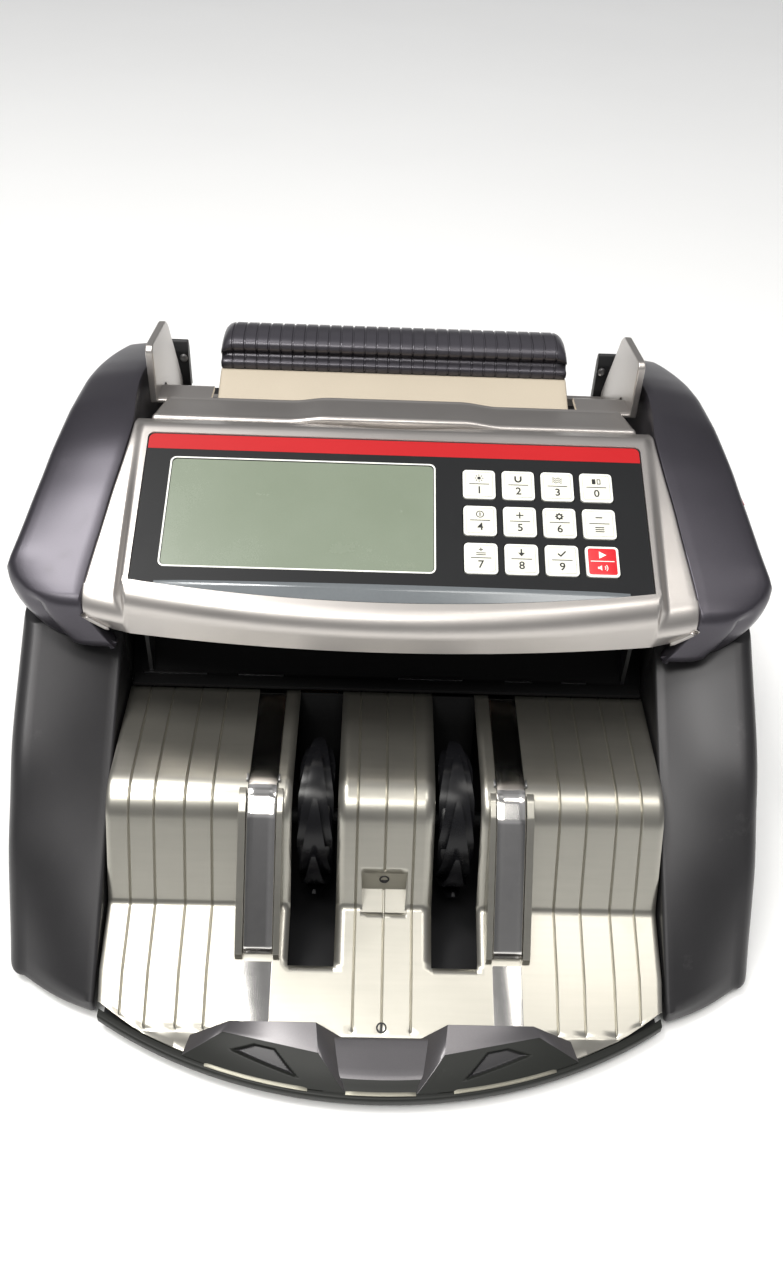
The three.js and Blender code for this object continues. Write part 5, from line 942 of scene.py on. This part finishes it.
# ---------------------------------------------------------------- rear details
XZ = Matrix(((0.001, 0, 0, 0), (0, 0, -0.001, (143 + 1.5) * 0.001), (0, 0.001, 0, -0.006), (0, 0, 0, 1)))   # x, z, outward=-n
def rear():
    outline = [(-124, 10.5), (124, 10.5), (124, 109.6), (104.2, 109.6), (104.2, 130.1), (75.1, 130.1), (75.1, 150.1), (-75.1, 150.1), (-75.1, 130.1), (-104.2, 130.1), (-104.2, 109.6), (-124, 109.6)]
    outline = round_poly(outline, [3, 3, 1.5, 1, 1, 1, 2, 2, 1, 1, 1, 1.5], 4)
    hl = [rrect(-88, 36, 29, 21, 2, 4), circ(-60, 36, 6.4, 32), circ(0, 144.5, 3.2, 24)]
    for i in range(6): hl.append(rrect(20 + i * 9, 70, 4, 34, 1.9, 5))
    o = flat('rear_panel', [outline] + hl, 0.05, 2.45, 'cheek', plane=XZ, bev=0.35, res=2); put(o, 'machine_body', 'dark', 'rear_cover')
    # louvre blades set in the vents
    for i in range(6):
        x = 20 + i * 9
        for k in range(5):
            z = 57 + k * 6.5
            o = O('louvre_%d_%d' % (i, k), extr_x(round_poly([(140.7, z), (142.6, z + 1.6), (142.6, z + 2.4), (140.7, z + 0.8)], 0.2, 2), x - 1.95, x + 1.95), 'black'); put(o, 'machine_body', 'dark')
    # raised border ribs
    bd = [rrect(0, 60, 236, 88, 6, 5), rrect(0, 60, 233.6, 85.6, 5, 5)]
    o = flat('rear_border', bd, -0.25, 0.4, 'cheek', plane=XZ); put(o, 'machine_body', 'dark')
    for i, (x, z) in enumerate(((-116, 20), (116, 20), (-116, 101), (116, 101), (-96, 122), (96, 122))):
        o = O('rear_screw_%d' % i, turned_y((x, z), [(142.6, 3.0), (143.1, 3.0), (143.35, 2.6), (143.4, 1.2), (143.1, 1.0), (143.1, 0.02)], 24), 'steel'); put(o, 'machine_body', 'steel')
    # mains inlet with three blades
    o = flat('inlet_frame', [rrect(-88, 36, 28.2, 20.2, 1.8, 5), rrect(-88, 36, 23, 15.5, 3, 5)], -0.0, 12.0, 'black', plane=XZ, bev=0.3, res=2); put(o, 'machine_body', 'black', 'power_inlet')
    o = flat('inlet_back', [rrect(-88, 36, 24, 16.5, 3, 5)], 10.5, 13.5, 'black', plane=XZ); put(o, 'machine_body', 'black')
    for i, (x, z) in enumerate(((-95, 34), (-81, 34), (-88, 39))):
        o = O('inlet_blade_%d' % i, extr_y(rrect(x, z, 2.0, 4.2, 0.5, 3), 133.0, 141.5), 'steel'); bevel(o, 0.25); put(o, 'machine_body', 'steel')
    o = O('fuse_knob', turned_y((-60, 36), [(129.2, 4.8), (142.4, 5.85), (143.2, 5.9), (144.2, 5.6), (144.4, 5.2), (144.4, 0.05)], 40), 'black', sharp=40); put(o, 'machine_body', 'black', 'fuse_cap')
    o = O('fuse_slot', extr_y(rrect(-60, 36, 8.6, 1.9, 0.4, 3), 144.0, 145.4), 'black'); bevel(o, 0.25); put(o, 'machine_body', 'black')
    g = Grid(); rows = []; n = 90
    for y, r in ((143.5, 6.0), (143.6, 6.5), (144.0, 6.75), (145.6, 6.6), (146.1, 6.2), (146.25, 5.6), (146.25, 0.3)):
        rows.append([(r * (1 - (0.045 if (k % 5) in (0, 1) and 6.3 < r else 0)) * math.cos(2 * math.pi * k / n), y, 144.5 + r * (1 - (0.045 if (k % 5) in (0, 1) and 6.3 < r else 0)) * math.sin(2 * math.pi * k / n)) for k in range(n)])
    g.sheet(rows, wrap=True); g.cap(rows[0]); g.cap(rows[-1], True)
    o = O('gap_knob', g, 'black', sharp=30); put(o, 'gap_adjust_knob', 'black', 'gap_adjust_knob')
    o = O('gap_knob_stem', turned_y((0, 144.5), [(134.2, 2.5), (143.6, 2.5)], 20), 'steel'); put(o, 'gap_adjust_knob', 'black')
    o = O('gap_knob_mark', extr_y([(-0.35, 146.5), (0.35, 146.5), (0.35, 150.0), (-0.35, 150.0)], 146.1, 146.32), 'white'); put(o, 'gap_adjust_knob', 'white')
rear()
x = 130.7
rk = round_poly([(x, 132.5), (x + 5.1, 132.1), (x + 5.7, 132.7), (x + 4.4, 138.6), (x + 7.3, 145.2), (x + 6.3, 146.2), (x, 146.0)], [0.2, 0.5, 0.7, 3.0, 0.8, 0.8, 0.2], 4)
o = O('rocker', extr_y(rk, 26.7, 41.3), 'red'); bevel(o, 0.5, 3); put(o, 'power_switch', 'red', 'power_switch')

# ---------------------------------------------------------------- carried-over CAD nodes
FIN = {'display_board': 'pcb', 'main_board': 'pcb', 'frame_plate_left': 'black', 'frame_plate_right': 'black', 'stacker_shaft': 'black', 'stacker_pulley': 'white',
       'feed_roller': 'roller', 'feed_pulley': 'white', 'pickup_roller': 'roller', 'retard_roller': 'rubber', 'stacker_belt': 'belt', 'feed_belt': 'belt', 'pickup_belt': 'belt',
       'main_motor': 'steel', 'motor_bracket': 'steel', 'motor_pulley': 'white', 'power_transformer': 'copper'}
for n_, m_ in FIN.items():
    ob = frame["nodes"][n_]
    if len(ob.material_slots) == 0: ob.data.materials.append(M[m_])
    for s_ in ob.material_slots: s_.material = M[m_]

# ---------------------------------------------------------------- floor, light
fm = bpy.data.meshes.new('floor'); S_ = 80.0
fm.from_pydata([(-S_, -S_, 0), (S_, -S_, 0), (S_, S_, 0), (-S_, S_, 0)], [], [(0, 1, 2, 3)])
fm.materials.append(shade('m_floor', (0.93, 0.93, 0.92), 0.6, 0.0, var=0.008, vs=2, rv=0.05, bump=0.01, bs=300, spec=0.2))
fo = bpy.data.objects.new('floor', fm); bpy.context.scene.collection.objects.link(fo)

world = bpy.data.worlds.new('studio'); bpy.context.scene.world = world; world.use_nodes = True
nt = world.node_tree; nt.nodes.clear(); N = nt.nodes.new; L = nt.links.new
wo = N('ShaderNodeOutputWorld'); bg = N('ShaderNodeBackground'); tc = N('ShaderNodeTexCoord'); sp = N('ShaderNodeSeparateXYZ'); cr = N('ShaderNodeValToRGB')
L(tc.outputs['Generated'], sp.inputs[0]); L(sp.outputs['Z'], cr.inputs[0]); L(bg.outputs[0], wo.inputs[0])
wn = N('ShaderNodeTexNoise'); L(tc.outputs['Generated'], wn.inputs['Vector']); wn.inputs['Scale'].default_value = 2.6; wn.inputs['Detail'].default_value = 1.5
wr = N('ShaderNodeMapRange'); L(wn.outputs['Fac'], wr.inputs['Value']); wr.inputs['From Min'].default_value = 0.35; wr.inputs['From Max'].default_value = 0.65
wr.inputs['To Min'].default_value = 0.45; wr.inputs['To Max'].default_value = 1.45
wx = N('ShaderNodeVectorMath'); wx.operation = 'SCALE'; L(cr.outputs[0], wx.inputs[0]); L(wr.outputs[0], wx.inputs['Scale']); L(wx.outputs[0], bg.inputs[0])
cr.color_ramp.elements[0].position = 0.0; cr.color_ramp.elements[0].color = (0.78, 0.78, 0.78, 1)
e = cr.color_ramp.elements.new(0.05); e.color = (0.55, 0.55, 0.55, 1)
e = cr.color_ramp.elements.new(0.16); e.color = (0.20, 0.20, 0.20, 1)
cr.color_ramp.elements[1].position = 1.0; cr.color_ramp.elements[1].color = (0.42, 0.42, 0.43, 1)
e = cr.color_ramp.elements.new(0.40); e.color = (0.13, 0.13, 0.135, 1)
e = cr.color_ramp.elements.new(0.75); e.color = (0.34, 0.34, 0.35, 1)
bg.inputs[1].default_value = 1.0

def softbox(name, loc, target, sx, sy, power, col=(1, 1, 1)):
    l = bpy.data.lights.new(name, 'AREA'); l.shape = 'RECTANGLE'; l.size = sx; l.size_y = sy; l.energy = power; l.color = col
    o = bpy.data.objects.new(name, l); bpy.context.scene.collection.objects.link(o)
    d = Vector(target) - Vector(loc); o.matrix_world = Matrix.Translation(Vector(loc)) @ d.to_track_quat('-Z', 'Y').to_matrix().to_4x4()
    return o
softbox('box_left', (-0.62, -0.10, 1.75), (-0.10, 0.0, 0.12), 0.46, 0.34, 13, (1.0, 0.985, 0.96))
softbox('box_front', (-0.30, -0.80, 1.42), (0.0, -0.05, 0.06), 1.05, 0.30, 7.0, (1.0, 0.98, 0.94))
softbox('box_right', (0.46, -0.42, 1.66), (0.05, -0.05, 0.06), 0.42, 0.40, 3.2, (1.0, 0.97, 0.92))
softbox('box_cheek', (-0.44, -0.76, 1.30), (0.12, -0.035, 0.08), 0.24, 0.20, 3.0, (1.0, 1.0, 0.95))
sun = bpy.data.lights.new('fill_sun', 'SUN'); sun.energy = 1.35; sun.angle = math.radians(50)
fill = bpy.data.objects.new('fill_sun', sun); bpy.context.scene.collection.objects.link(fill); fill.matrix_world = Matrix.Rotation(math.radians(12), 4, 'X'); fill.visible_glossy = False
bpy.context.scene.view_settings.view_transform = 'Standard'
bpy.context.scene.view_settings.look = 'None'
